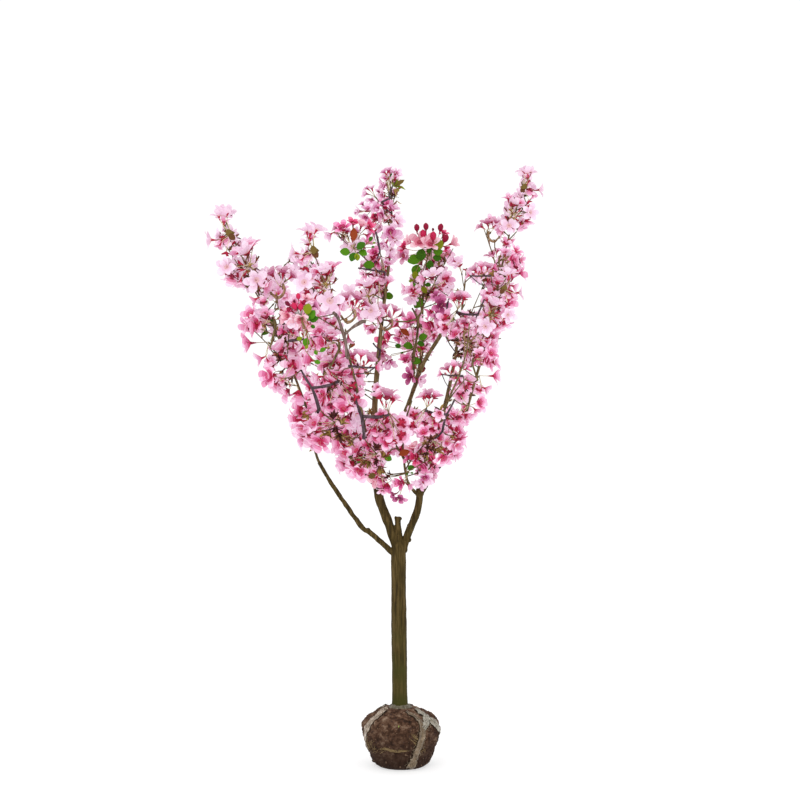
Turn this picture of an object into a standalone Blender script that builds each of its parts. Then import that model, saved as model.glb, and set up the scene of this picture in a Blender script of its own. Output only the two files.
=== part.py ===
"""A flowering crabapple tree standing on its root ball, as separate closed solids.

Metres, +Z up. The origin is the centre of the flat underside of the root ball, and the front of
the tree looks along -Y. The trunk forks into boughs, each bough ends in one mass of blossom, and
each mass grows from one stem by the same seeded rule.
"""

import math
import random

import bmesh
import bpy
from mathutils import Vector, noise
from mathutils.bvhtree import BVHTree

GAP = 0.0003  # left between pieces that touch

# Root ball: an earthen ball with a flat underside and a small level place under the trunk.
BALL_HEIGHT = 0.153
BALL_GIRTH = 0.103  # largest radius
BALL_OUTLINE = [  # (height, radius) as shares of the two sizes above
    (0.00, 0.60), (0.07, 0.74), (0.18, 0.79), (0.33, 0.89), (0.47, 0.98), (0.60, 1.00),
    (0.71, 0.97), (0.83, 0.86), (0.92, 0.65), (0.98, 0.42), (1.00, 0.26),
]
BALL_SIDES = 24
BALL_LUMPS = 0.0035  # how far the earth swells and dents
LUMPS_ROUND = 2.1  # how often, round the ball and up it
LUMPS_UP = 22
BALL_SLEW = 0.004  # the underside sits this far to the right of the top

# Cloth strips that tie the ball: (azimuth in degrees, height) along each, and the width at its
# start, middle and end. The front is at -90 degrees.
STRIP_THICK = 0.0018
STRIP_BITE = 0.005  # how far a strip is drawn into the ball before the ball is cut away from it
STRIP_STEP = 0.013  # between the stations of a strip
STRIP_EDGE = 0.8  # thickness at a strip's edges and along its middle, as shares of its thickness
STRIP_RIDGE = 1.25
STRIPS = {
    "cloth_strip_left": (
        [(-140, 0.149), (-142, 0.138), (-146, 0.112), (-158, 0.075), (-166, 0.045)],
        (0.013, 0.021, 0.006)),
    "cloth_strip_front": (
        [(-70, 0.148), (-57, 0.139), (-53, 0.122), (-56, 0.097), (-60, 0.068), (-64, 0.034),
         (-70, 0.006)],
        (0.008, 0.014, 0.017)),
    "cloth_strip_right": (
        [(-8, 0.149), (-10, 0.139), (-12, 0.126), (-6, 0.104), (8, 0.078), (14, 0.050)],
        (0.009, 0.017, 0.008)),
    "cloth_strip_link": ([(-17, 0.119), (-31, 0.113), (-43, 0.106)], (0.012, 0.009, 0.012)),
    "cloth_strip_back_right": (
        [(62, 0.149), (58, 0.130), (66, 0.095), (72, 0.055), (70, 0.010)],
        (0.009, 0.015, 0.015)),
    "cloth_strip_back_left": (
        [(140, 0.149), (135, 0.130), (126, 0.096), (130, 0.050)], (0.012, 0.018, 0.007)),
}
COLLAR_WIDTH = 0.0075  # cloth wound low round the foot of the trunk
COLLAR_HEIGHT = 0.009
COLLAR_WAVE = 0.3  # how much its height varies, as a share
COLLAR_BITE = 0.004  # how far it is drawn into the trunk before the trunk is cut away from it
COLLAR_SIDES = 16

# Trunk: its height above the soil, and its thickness from the foot to the cut stub of the leader.
TRUNK_SIDES = 14
TRUNK_AXIS = [(0.0, 0.0), (-0.0018, 0.146), (-0.0042, 0.370), (-0.0045, 0.432), (-0.0068, 0.500)]
TRUNK_GIRTH = [  # (height above the soil, radius)
    (0.000, 0.0222), (0.012, 0.0202), (0.060, 0.0192), (0.200, 0.0188), (0.330, 0.0184),
    (0.385, 0.0196), (0.420, 0.0180), (0.445, 0.0122), (0.480, 0.0076), (0.494, 0.0074),
    (0.4975, 0.0086), (0.500, 0.0084),
]

# Boughs: the limb each grows from, the points it passes by, and its radius at foot and tip.
BOUGHS = {
    "bough_left": ("trunk", [
        (-0.003, 0.000, 0.560), (-0.024, 0.000, 0.621), (-0.041, 0.000, 0.663),
        (-0.058, -0.003, 0.711), (-0.062, -0.005, 0.785)], 0.0124, 0.0098),
    "bough_right": ("trunk", [
        (0.003, 0.000, 0.556), (0.020, 0.000, 0.606), (0.032, 0.000, 0.635),
        (0.049, 0.000, 0.676), (0.055, 0.000, 0.738)], 0.0102, 0.0086),
    "bough_far_left": ("trunk", [
        (-0.008, 0.000, 0.547), (-0.083, -0.020, 0.617), (-0.094, -0.026, 0.618),
        (-0.132, -0.058, 0.681), (-0.186, -0.092, 0.760), (-0.208, -0.100, 0.802)],
        0.0064, 0.0038),
    "bough_far_right": ("bough_right", [
        (0.053, 0.000, 0.708), (0.087, 0.000, 0.767), (0.121, 0.000, 0.804),
        (0.138, -0.004, 0.830)], 0.0052, 0.0042),
    "bough_inner_right": ("bough_left", [
        (-0.062, -0.004, 0.760), (-0.050, 0.018, 0.786), (-0.040, 0.034, 0.808)],
        0.0068, 0.0058),
    "bough_front_left": ("bough_left", [
        (-0.062, -0.004, 0.750), (-0.070, -0.028, 0.780), (-0.076, -0.044, 0.803)],
        0.0066, 0.0058),
    "bough_back_left": ("bough_left", [
        (-0.061, -0.004, 0.740), (-0.082, 0.024, 0.772), (-0.100, 0.050, 0.800)],
        0.0062, 0.0052),
    "bough_front_right": ("bough_right", [
        (0.055, 0.000, 0.728), (0.063, -0.016, 0.750), (0.070, -0.032, 0.774)], 0.0064, 0.0056),
    "bough_back_right": ("bough_right", [
        (0.054, 0.000, 0.720), (0.064, 0.022, 0.750), (0.072, 0.042, 0.778)], 0.0060, 0.0052),
    "bough_low_left": ("bough_left", [
        (-0.060, -0.004, 0.732), (-0.090, -0.026, 0.762)], 0.0050, 0.0044),
    "bough_low_right": ("bough_right", [
        (0.052, 0.000, 0.704), (0.034, -0.026, 0.726)], 0.0044, 0.0038),
}
BOUGH_SIDES = 7
BOUGH_STEP = 0.032  # between the rings of a bough

# Masses of blossom: the bough that carries each, the points its stem passes by, how far it
# reaches sideways at its foot, middle and tip, and the seed of its twigs.
MASSES = {
    "blossom_far_left": ("bough_far_left", [
        (-0.228, -0.110, 0.885), (-0.293, -0.110, 1.065), (-0.368, -0.100, 1.245),
        (-0.456, -0.080, 1.436)], (0.056, 0.092, 0.048), 1),
    "blossom_front_left": ("bough_front_left", [
        (-0.100, -0.150, 0.950), (-0.150, -0.240, 1.130), (-0.205, -0.290, 1.310),
        (-0.222, -0.300, 1.390)], (0.078, 0.094, 0.046), 2),
    "blossom_back_left": ("bough_back_left", [
        (-0.185, 0.160, 0.945), (-0.240, 0.240, 1.130), (-0.245, 0.280, 1.350)],
        (0.074, 0.090, 0.046), 3),
    "blossom_centre": ("bough_left", [
        (-0.067, -0.005, 0.930), (-0.058, 0.012, 1.160), (-0.066, 0.030, 1.350),
        (-0.060, 0.035, 1.430), (-0.030, 0.050, 1.548)], (0.068, 0.064, 0.050), 4),
    "blossom_back": ("bough_inner_right", [
        (0.015, 0.110, 0.927), (0.064, 0.200, 1.070), (0.060, 0.280, 1.230),
        (0.086, 0.320, 1.424)], (0.060, 0.064, 0.068), 5),
    "blossom_right": ("bough_far_right", [
        (0.172, -0.005, 0.920), (0.200, -0.005, 1.020), (0.236, 0.000, 1.140),
        (0.275, 0.010, 1.350), (0.330, 0.020, 1.545)], (0.054, 0.086, 0.048), 6),
    "blossom_front_right": ("bough_front_right", [
        (0.098, -0.100, 0.923), (0.130, -0.190, 1.060), (0.136, -0.240, 1.150)],
        (0.076, 0.080, 0.052), 7),
    "blossom_back_right": ("bough_back_right", [
        (0.120, 0.130, 0.930), (0.160, 0.190, 1.110), (0.186, 0.230, 1.330)],
        (0.072, 0.074, 0.048), 8),
    "blossom_low_left": ("bough_low_left", [
        (-0.130, -0.062, 0.815), (-0.165, -0.080, 0.870), (-0.180, -0.130, 0.990)],
        (0.076, 0.084, 0.056), 9),
    "blossom_low_right": ("bough_low_right", [
        (0.012, -0.056, 0.780), (0.004, -0.090, 0.880), (0.030, -0.140, 0.960)],
        (0.076, 0.084, 0.064), 10),
}
SHOOTS = {  # long side shoots: the share of the stem where each leaves it, and its tip
    "blossom_far_left": [(0.62, (-0.460, -0.110, 1.378)), (0.52, (-0.300, -0.080, 1.310)),
                         (0.36, (-0.385, -0.110, 1.150))],
    "blossom_centre": [(0.66, (-0.165, 0.000, 1.395))],
    "blossom_back": [(0.70, (0.150, 0.280, 1.390))],
    "blossom_back_right": [(0.62, (0.245, 0.250, 1.310))],
    "blossom_right": [(0.62, (0.215, 0.030, 1.440)), (0.84, (0.352, 0.010, 1.500))],
    "blossom_front_right": [(0.50, (0.170, -0.150, 1.020))],
    "blossom_low_left": [(0.30, (-0.090, -0.130, 0.890)), (0.40, (-0.225, -0.125, 0.915))],
    "blossom_low_right": [(0.30, (0.075, -0.115, 0.860)), (0.45, (-0.045, -0.140, 0.905))],
}
SHOOT_REACH = (0.046, 0.050, 0.044)
STEM_STEP = 0.030  # between the rings of a stem
STEM_SIDES = 4
STEM_FOOT = 0.85  # thickness of a stem's foot as a share of its bough's tip
STEM_TIP = 0.0030  # radius of a stem's tip
STEM_STRAIGHT = (0.008, 0.028)  # a stem runs straight on from its bough past these two points
SHOOT_KNEE = 0.35  # how far out along a side shoot its knee is
TWIG_STEP = 0.0305  # between the twigs on a stem
TWIG_SIDES = 3
TWIG_LEAN = (1.70, 1.05, 0.65)  # radians between a twig and its stem at foot, middle and tip
TWIG_SWAY = 0.35  # how far a twig may lean otherwise
TWIG_FOOT = 0.0019
TWIG_TIP = 0.0021
TWIG_LEAST = 0.014
TWIG_TURN = 0.9  # how far a twig may turn from its place round the stem
TWIG_NOD = 0.4  # how far its blossom may nod
TWIG_FACES = 7  # the faces of a twig below its blossom
TRIES = 24
SHRINK = 0.30  # how much smaller the last try for a blossom is than the first
GOLDEN_ANGLE = math.radians(137.5)
BLOSSOM_RADIUS = 0.046  # each blossom here stands for a spray of real ones
BLOSSOM_CUP = 0.40  # height of the petals' tips as a share of the radius
BLOSSOM_NOTCH = (0.68, 0.30)  # how far out and how high the notches between the petals are
BLOSSOM_HEART = 0.22  # height of the middle
PETALS = 5
LEAF_EVERY = 4  # every so many twigs bear a leaf
LEAF_LENGTH = 0.050
LEAF_HALF_WIDTH = 0.24  # as shares of the length, as are the next four
LEAF_CURL = 0.10
LEAF_FOLD = 0.05
LEAF_TOP = 0.012
LEAF_KEEL = 0.030
LEAF_SINK = 0.0012  # how deep a leaf is rooted past the middle of its twig
MARGIN = 0.0030  # every point of a mass is this much nearer to its own stem than to any other
LIMB_CLEAR = 0.0025  # kept between a mass and a limb that isn't its own

COLOURS = {  # base colour (linear), roughness
    "earth": ((0.075, 0.034, 0.020), 0.95),
    "cloth": ((0.300, 0.235, 0.165), 0.90),
    "bark": ((0.075, 0.052, 0.018), 0.75),
    "blossom": ((0.680, 0.270, 0.400), 0.60),
}


def clear_scene():
    for obj in list(bpy.data.objects):
        bpy.data.objects.remove(obj, do_unlink=True)


def material(name):
    found = bpy.data.materials.get(name)
    if found:
        return found
    colour, roughness = COLOURS[name.split(".")[0]]
    made = bpy.data.materials.new(name)
    made.use_nodes = True
    shader = made.node_tree.nodes["Principled BSDF"]
    shader.inputs["Base Color"].default_value = (*colour, 1.0)
    shader.inputs["Roughness"].default_value = roughness
    shader.inputs["Metallic"].default_value = 0.0
    return made


def new_object(name, points, faces, finish=None, smooth=False):
    """An object from points and faces of closed bodies, with every body's faces pointing out."""
    mesh = bpy.data.meshes.new(name)
    mesh.from_pydata([tuple(p) for p in points], [], faces)
    shell = bmesh.new()
    shell.from_mesh(mesh)
    bmesh.ops.recalc_face_normals(shell, faces=shell.faces)
    shell.to_mesh(mesh)
    shell.free()
    if smooth:
        mesh.shade_smooth()
        mesh.set_sharp_from_angle(angle=math.radians(40))
    obj = bpy.data.objects.new(name, mesh)
    bpy.context.scene.collection.objects.link(obj)
    if finish:
        mesh.materials.append(material(finish + "." + name))
    return obj


def settle(obj):
    """Apply an object's modifiers to its mesh."""
    depsgraph = bpy.context.evaluated_depsgraph_get()
    mesh = bpy.data.meshes.new_from_object(obj.evaluated_get(depsgraph))
    obj.modifiers.clear()
    obj.data = mesh


def islands(shell):
    """The separate closed bodies of a bmesh, as lists of faces."""
    left = set(shell.faces)
    found = []
    while left:
        stack = [left.pop()]
        body = [stack[0]]
        while stack:
            for edge in stack.pop().edges:
                for face in edge.link_faces:
                    if face in left:
                        left.remove(face)
                        stack.append(face)
                        body.append(face)
        found.append(body)
    return found


def keep_largest(obj):
    """Drop loose scraps, and fill sealed hollows by dropping their walls."""
    shell = bmesh.new()
    shell.from_mesh(obj.data)
    bodies = sorted(islands(shell), key=lambda body: -sum(face.calc_area() for face in body))
    spare = [face for body in bodies[1:] for face in body]
    if spare:
        bmesh.ops.delete(shell, geom=spare, context="FACES")
    bmesh.ops.triangulate(shell, faces=shell.faces)
    shell.to_mesh(obj.data)
    shell.free()


def smooth_path(points, rounds=2):
    """Corner cutting: the path keeps its ends and rounds every knee between them."""
    path = [Vector(p) for p in points]
    for _ in range(rounds):
        cut = [path[0]]
        for a, b in zip(path, path[1:]):
            cut += [a.lerp(b, 0.25), a.lerp(b, 0.75)]
        path = cut + [path[-1]]
    return path


def resample(path, step):
    """Points at about equal steps along a path."""
    lengths = [(b - a).length for a, b in zip(path, path[1:])]
    total = sum(lengths)
    count = max(2, round(total / step))
    points = [path[0].copy()]
    for i in range(1, count):
        aim = total * i / count
        for a, b, length in zip(path, path[1:], lengths):
            if aim <= length:
                points.append(a.lerp(b, aim / length))
                break
            aim -= length
    return points + [path[-1].copy()]


def blend(values, share):
    """A value between the foot, middle and tip values, at a share of the way."""
    if share < 0.5:
        return values[0] + (values[1] - values[0]) * share * 2
    return values[1] + (values[2] - values[1]) * (share * 2 - 1)


def read_outline(outline, height):
    """Linear reading of a list of (height, size)."""
    for (h0, r0), (h1, r1) in zip(outline, outline[1:]):
        if height <= h1:
            return r0 + (r1 - r0) * (height - h0) / (h1 - h0)
    return outline[-1][1]


def side_of(direction):
    """Any unit vector square to a direction."""
    rough = Vector((0, 0, 1)) if abs(direction.z) < 0.9 else Vector((1, 0, 0))
    return direction.cross(rough).normalized()


def tube(path, radii, sides):
    """Points and faces of a closed tapering tube along a path."""
    points, faces = [], []
    side = None
    for i, centre in enumerate(path):
        along = path[min(i + 1, len(path) - 1)] - path[max(i - 1, 0)]
        along.normalize()
        side = side_of(along) if side is None else (side - along * side.dot(along)).normalized()
        across = along.cross(side)
        for k in range(sides):
            angle = math.tau * k / sides
            points.append(centre + (side * math.cos(angle) + across * math.sin(angle)) * radii[i])
    for i in range(len(path) - 1):
        for k in range(sides):
            a, b = i * sides + k, i * sides + (k + 1) % sides
            faces.append((a, b, b + sides, a + sides))
    faces.append(tuple(reversed(range(sides))))
    faces.append(tuple(range(len(points) - sides, len(points))))
    return points, faces


def tree_of(obj):
    return BVHTree.FromPolygons([v.co for v in obj.data.vertices],
                                [p.vertices for p in obj.data.polygons])


def cut_clear(obj, cutters):
    """Cut away whatever the given cutter objects fill, then remove the scraps."""
    for cutter in cutters:
        cutting = obj.modifiers.new("cut", "BOOLEAN")
        cutting.operation = "DIFFERENCE"
        cutting.object = cutter
    settle(obj)
    keep_largest(obj)


def ball_radius(height):
    """Radius of the root ball's outline at a height."""
    return BALL_GIRTH * read_outline(BALL_OUTLINE, height / BALL_HEIGHT)


def ball_skin():
    """Points and faces of the lumpy ball."""
    points, faces = [], []
    heights = [share * BALL_HEIGHT for share, _ in BALL_OUTLINE]
    for height in heights:
        flat = height in (heights[0], heights[-1])
        for k in range(BALL_SIDES):
            angle = math.tau * k / BALL_SIDES
            around = Vector((math.cos(angle), math.sin(angle), 0))
            radius = ball_radius(height)
            lump = noise.noise(around * LUMPS_ROUND + Vector((0, 0, height * LUMPS_UP)))
            radius += 0 if flat else BALL_LUMPS * lump
            slew = BALL_SLEW * (1 - height / BALL_HEIGHT)
            points.append(around * radius + Vector((slew, 0, height)))
    for i in range(len(heights) - 1):
        for k in range(BALL_SIDES):
            a, b = i * BALL_SIDES + k, i * BALL_SIDES + (k + 1) % BALL_SIDES
            faces.append((a, b, b + BALL_SIDES))
            faces.append((a, b + BALL_SIDES, a + BALL_SIDES))
    faces.append(tuple(reversed(range(BALL_SIDES))))
    faces.append(tuple(range(len(points) - BALL_SIDES, len(points))))
    return points, faces


def grown_copy(obj, amount):
    """A copy of an object with its skin moved out, to cut its neighbours clear of it."""
    copy = bpy.data.objects.new(obj.name + ".clear", obj.data.copy())
    bpy.context.scene.collection.objects.link(copy)
    copy.hide_render = True
    copy.display_type = "WIRE"
    shell = bmesh.new()
    shell.from_mesh(copy.data)
    shell.normal_update()
    moves = [(vert, vert.normal * amount * vert.calc_shell_factor()) for vert in shell.verts]
    for vert, move in moves:
        vert.co += move
    shell.to_mesh(copy.data)
    shell.free()
    return copy


def root_ball():
    points, faces = ball_skin()
    return new_object("root_ball", points, faces, "earth", smooth=True)


def strip(name, stations, widths, skin):
    """A band of cloth laid on the ball: its inner side is drawn in the ball and cut away later."""
    heart = Vector((BALL_SLEW / 2, 0, BALL_HEIGHT / 2))
    aims = []
    for azimuth, height in stations:
        angle = math.radians(azimuth)
        radius = ball_radius(height)
        aims.append(Vector((radius * math.cos(angle), radius * math.sin(angle), height)))
    path, normals = [], []
    for aim in resample(smooth_path(aims), STRIP_STEP):
        place, normal, _, _ = skin.ray_cast(heart, (aim - heart).normalized())
        path.append(place)
        normals.append(normal)
    points, faces = [], []
    for i, (place, normal) in enumerate(zip(path, normals)):
        along = (path[min(i + 1, len(path) - 1)] - path[max(i - 1, 0)]).normalized()
        across = normal.cross(along).normalized()
        half = blend(widths, i / (len(path) - 1)) / 2
        lift = STRIP_THICK + GAP
        points += [place - across * half - normal * STRIP_BITE,
                   place - across * half + normal * lift * STRIP_EDGE,
                   place + normal * lift * STRIP_RIDGE,
                   place + across * half + normal * lift * STRIP_EDGE,
                   place + across * half - normal * STRIP_BITE]
    for i in range(len(path) - 1):
        for k in range(5):
            a, b = i * 5 + k, i * 5 + (k + 1) % 5
            faces.append((a, b, b + 5, a + 5))
    faces.append((4, 3, 2, 1, 0))
    faces.append(tuple(len(points) - 5 + k for k in range(5)))
    return new_object(name, points, faces, "cloth")


def collar():
    """Cloth wound once round the foot of the trunk, a low ring on the soil."""
    sides = COLLAR_SIDES
    inner = TRUNK_GIRTH[0][1] - COLLAR_BITE
    outer = TRUNK_GIRTH[0][1] + COLLAR_WIDTH
    points, faces = [], []
    for k in range(sides):
        angle = math.tau * k / sides
        around = Vector((math.cos(angle), math.sin(angle), 0))
        tall = COLLAR_HEIGHT * (1 + COLLAR_WAVE * noise.noise(around * LUMPS_ROUND))
        foot = Vector((0, 0, BALL_HEIGHT - STRIP_BITE))
        rise = Vector((0, 0, STRIP_BITE + tall))
        points += [around * inner + foot, around * inner + foot + rise,
                   around * (outer * 0.93) + foot + rise * 0.92, around * outer + foot]
    for k in range(sides):
        for j in range(4):
            a, b = k * 4 + j, k * 4 + (j + 1) % 4
            c, d = ((k + 1) % sides) * 4 + (j + 1) % 4, ((k + 1) % sides) * 4 + j
            faces.append((a, b, c, d))
    return new_object("cloth_collar", points, faces, "cloth")


def trunk():
    """The trunk, from its flat foot on the soil to the cut stub of its leader."""
    path, radii = [], []
    for height, radius in TRUNK_GIRTH:
        shift = read_outline([(h, x) for x, h in TRUNK_AXIS], height)
        path.append(Vector((shift, 0, BALL_HEIGHT + GAP + height)))
        radii.append(radius)
    points, faces = [], []
    for centre, radius in zip(path, radii):
        for k in range(TRUNK_SIDES):
            angle = math.tau * k / TRUNK_SIDES
            points.append(centre + Vector((math.cos(angle), math.sin(angle), 0)) * radius)
    for i in range(len(path) - 1):
        for k in range(TRUNK_SIDES):
            a, b = i * TRUNK_SIDES + k, i * TRUNK_SIDES + (k + 1) % TRUNK_SIDES
            faces.append((a, b, b + TRUNK_SIDES, a + TRUNK_SIDES))
    faces.append(tuple(reversed(range(TRUNK_SIDES))))
    faces.append(tuple(range(len(points) - TRUNK_SIDES, len(points))))
    return new_object("trunk", points, faces, "bark", smooth=True)


def bough_path(name):
    return resample(smooth_path(BOUGHS[name][1]), BOUGH_STEP)


def taper(start, end, count):
    return [start + (end - start) * i / (count - 1) for i in range(count)]


def stem_paths(name):
    """A mass's stem, from just clear of its bough's tip, and then its long side shoots."""
    carrier, points, _, _ = MASSES[name]
    bough = bough_path(carrier)
    along = (bough[-1] - bough[-2]).normalized()
    foot = bough[-1] + along * GAP
    start, knee = (foot + along * reach for reach in STEM_STRAIGHT)
    stem = [foot] + resample(smooth_path([start, knee] + points), STEM_STEP)
    paths = [stem]
    for share, tip in SHOOTS.get(name, []):
        at = round(share * (len(stem) - 1))
        knee = stem[at].lerp(stem[at + 1], 0.5).lerp(Vector(tip), SHOOT_KNEE)
        paths.append(resample(smooth_path([stem[at], knee, tip]), STEM_STEP))
    return paths


def stitch(ring_a, ring_b):
    """Triangles between two closed rings of any counts that run the same way round."""
    faces, i, j = [], 0, 0
    n, m = len(ring_a), len(ring_b)
    while i < n or j < m:
        if j >= m or (i < n and (i + 0.5) / n <= (j + 0.5) / m):
            faces.append((ring_a[i % n], ring_a[(i + 1) % n], ring_b[j % m]))
            i += 1
        else:
            faces.append((ring_b[j % m], ring_a[i % n], ring_b[(j + 1) % m]))
            j += 1
    return faces


def blossom(foot, tip, facing, size, turn):
    """A twig and its blossom as one closed body: a thin twig that opens into five petals."""
    along = (tip - foot).normalized()
    radius = BLOSSOM_RADIUS * size
    points = []
    side = side_of(along)
    for centre, way, thick in ((foot, along, TWIG_FOOT), (tip, facing, TWIG_TIP)):
        side = (side - way * side.dot(way)).normalized()
        across = way.cross(side)
        for k in range(TWIG_SIDES):
            angle = math.tau * k / TWIG_SIDES
            points.append(centre + (side * math.cos(angle) + across * math.sin(angle)) * thick)
    for k in range(PETALS * 2):
        angle = turn + math.tau * k / (PETALS * 2)
        far, lift = (1.0, BLOSSOM_CUP) if k % 2 else BLOSSOM_NOTCH
        outward = side * math.cos(angle) + across * math.sin(angle)
        points.append(tip + (outward * far + facing * lift) * radius)
    points.append(tip + facing * radius * BLOSSOM_HEART)
    rim = list(range(6, 6 + PETALS * 2))
    centre = len(points) - 1
    faces = [(2, 1, 0)] + stitch([0, 1, 2], [3, 4, 5]) + stitch([3, 4, 5], rim)
    faces += [(rim[k], rim[(k + 1) % len(rim)], centre) for k in range(len(rim))]
    return points, faces


def leaf(foot, axis, up, length):
    """A leaf of eight faces, folded a little along its midrib."""
    along = axis.normalized()
    across = along.cross(up).normalized()
    face = across.cross(along)
    start = foot - along * LEAF_SINK
    middle = foot + along * length * 0.5
    half = across * length * LEAF_HALF_WIDTH
    points = [start, foot + along * length + face * length * LEAF_CURL,
              middle + half + face * length * LEAF_FOLD,
              middle - half + face * length * LEAF_FOLD,
              middle + face * length * LEAF_TOP, middle - face * length * LEAF_KEEL]
    faces = [(0, 2, 4), (2, 1, 4), (1, 3, 4), (3, 0, 4), (2, 0, 5), (1, 2, 5), (3, 1, 5), (0, 3, 5)]
    return points, faces


def nearest_on(path, point):
    """Distance from a point to a path."""
    best = 9.0
    for a, b in zip(path, path[1:]):
        line = b - a
        share = max(0.0, min(1.0, (point - a).dot(line) / line.length_squared))
        best = min(best, (point - a - line * share).length)
    return best


def within_room(points, faces, own, others, solids, stems, rooted):
    """Whether an item keeps to its own mass's space and crosses no solid made so far.

    Its first faces, as many as rooted says, may pass into the stem that carries it.
    """
    tests = list(points)
    tests += [sum((points[i] for i in face), Vector()) / len(face) for face in faces]
    for point in tests:
        reach = min(nearest_on(path, point) for path in own) + MARGIN
        if any(nearest_on(path, point) < reach for path in others):
            return False
    item = BVHTree.FromPolygons(points, faces)
    if any(solid.overlap(item) for solid in solids):
        return False
    free = BVHTree.FromPolygons(points, faces[rooted:])
    return not any(stem.overlap(free) for stem in stems)


def twig_span(wide, size, lean, rng):
    """A twig's length, such that its blossom's edge stays within the reach there."""
    radius = BLOSSOM_RADIUS * size
    outward = math.sqrt(max(0.0, wide ** 2 - radius ** 2)) - radius * BLOSSOM_CUP
    return max(TWIG_LEAST, outward * rng.uniform(0.4, 1.0) / max(0.5, math.sin(lean)))


def grow(name, tubes, others, solids):
    """The twigs, blossoms and leaves of one mass, each as (points, faces), by a seeded rule.

    Twigs leave each stem at equal steps, each turned by the golden angle from the last. Each is
    tried a few times with other lengths and turns, and is skipped if it never finds room.
    """
    _, _, reach, seed = MASSES[name]
    rng = random.Random(seed)
    own = stem_paths(name)
    stems = [BVHTree.FromPolygons(*shape) for shape in tubes]
    items, trees = [], []
    for order, path in enumerate(own):
        stations = resample(path, TWIG_STEP)
        spin = rng.uniform(0, math.tau)
        for i in range(1, len(stations)):
            share = i / (len(stations) - 1)
            along = (stations[i] - stations[i - 1]).normalized()
            side = side_of(along)
            spin += GOLDEN_ANGLE
            wide = blend(SHOOT_REACH if order else reach, share)
            for attempt in range(TRIES):
                turn = spin + rng.uniform(-TWIG_TURN, TWIG_TURN)
                lean = blend(TWIG_LEAN, share) + rng.uniform(-TWIG_SWAY, TWIG_SWAY)
                out = side * math.cos(turn) + along.cross(side) * math.sin(turn)
                way = (along * math.cos(lean) + out * math.sin(lean)).normalized()
                size = rng.uniform(0.85, 1.0) * (1 - SHRINK * attempt / (TRIES - 1))
                tip = stations[i] + way * twig_span(wide, size, lean, rng)
                nod = Vector((rng.uniform(-TWIG_NOD, TWIG_NOD) for _ in range(3)))
                spray = blossom(stations[i], tip, (way + nod).normalized(), size,
                                rng.uniform(0, math.tau))
                if within_room(*spray, own, others, solids + trees, stems, TWIG_FACES):
                    items.append(spray)
                    trees.append(BVHTree.FromPolygons(*spray))
                    break
            else:
                continue
            across = way.cross(along).normalized() * rng.choice((-1, 1))
            if i % LEAF_EVERY == 0:
                blade = leaf(stations[i].lerp(tip, 0.6), (way - across).normalized(), along,
                             LEAF_LENGTH * rng.uniform(0.8, 1.1))
                if within_room(*blade, own, others, solids + trees[:-1], stems, 0):
                    items.append(blade)
                    trees.append(BVHTree.FromPolygons(*blade))
    return items


def fuse(name, stem, items):
    """Join a stem and its items into one solid by a union on their collection."""
    obj = new_object(name, *stem, "blossom")
    group = bpy.data.collections.new(name + ".items")
    bpy.context.scene.collection.children.link(group)
    for k, (points, faces) in enumerate(items):
        item = new_object(f"{name}.item{k}", points, faces)
        bpy.context.scene.collection.objects.unlink(item)
        group.objects.link(item)
    union = obj.modifiers.new("join", "BOOLEAN")
    union.operation = "UNION"
    union.operand_type = "COLLECTION"
    union.collection = group
    union.solver = "MANIFOLD"
    settle(obj)
    for item in list(group.objects):
        bpy.data.objects.remove(item, do_unlink=True)
    bpy.data.collections.remove(group)
    keep_largest(obj)
    return obj


def build():
    clear_scene()
    ball = root_ball()
    ball_clear = grown_copy(ball, GAP)
    foot = trunk()
    limbs = {"trunk": foot}
    clear = {"trunk": grown_copy(foot, GAP)}

    wrap = collar()
    cut_clear(wrap, [ball_clear, clear["trunk"]])
    laid = [grown_copy(wrap, GAP)]
    skin = tree_of(ball)
    for name, (stations, widths) in STRIPS.items():
        band = strip(name, stations, widths, skin)
        cut_clear(band, [ball_clear] + laid)
        laid.append(grown_copy(band, GAP))

    for name, (parent, _, thick, thin) in BOUGHS.items():
        path = bough_path(name)
        points, faces = tube(path, taper(thick, thin, len(path)), BOUGH_SIDES)
        limb = new_object(name, points, faces, "bark", smooth=True)
        near = tree_of(limb)
        cut_clear(limb, [clear[other] for other in limbs if near.overlap(tree_of(clear[other]))])
        limbs[name] = limb
        clear[name] = grown_copy(limb, GAP)

    guards = [grown_copy(limb, LIMB_CLEAR) for limb in limbs.values()]
    solids = [tree_of(guard) for guard in guards]
    stems = {name: stem_paths(name) for name in MASSES}
    for name, (carrier, _, _, _) in MASSES.items():
        others = [path for other, paths in stems.items() if other != name for path in paths]
        blocked = [solid for limb, solid in zip(limbs, solids) if limb != carrier]
        stem, *shoots = stems[name]
        thick = BOUGHS[carrier][3] * STEM_FOOT
        tubes = [tube(stem, taper(thick, STEM_TIP, len(stem)), STEM_SIDES)]
        tubes += [tube(path, taper(STEM_TIP, TWIG_TIP, len(path)), TWIG_SIDES) for path in shoots]
        items = grow(name, tubes, others, blocked + [tree_of(limbs[carrier])])
        mass = fuse(name, tubes[0], tubes[1:] + items)
        print(name, "items", len(items), "triangles", len(mass.data.polygons))

    for obj in guards + list(clear.values()) + laid + [ball_clear]:
        bpy.data.objects.remove(obj, do_unlink=True)


build()
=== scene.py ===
# %% [markdown]
# This lesson dresses a young flowering crabapple, 1.6 m tall, that stands on the ball of earth it was
# dug up with. The solids of the frame give every limb its place and size. Here each gets the surface
# of the real thing: young bark, crumbling earth, torn cloth, and a crown of flowers on fine twigs.
# Flowers could be scattered as instances, but an export drops those. So one petal, one bud and one
# leaf are modelled by hand, copied in code, and joined into a few meshes for each part of the crown.

# %% Load the solids
import math
import random

import bmesh
import bpy
import numpy as np
from mathutils import Matrix, Quaternion, Vector, noise
from mathutils.bvhtree import BVHTree


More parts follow.
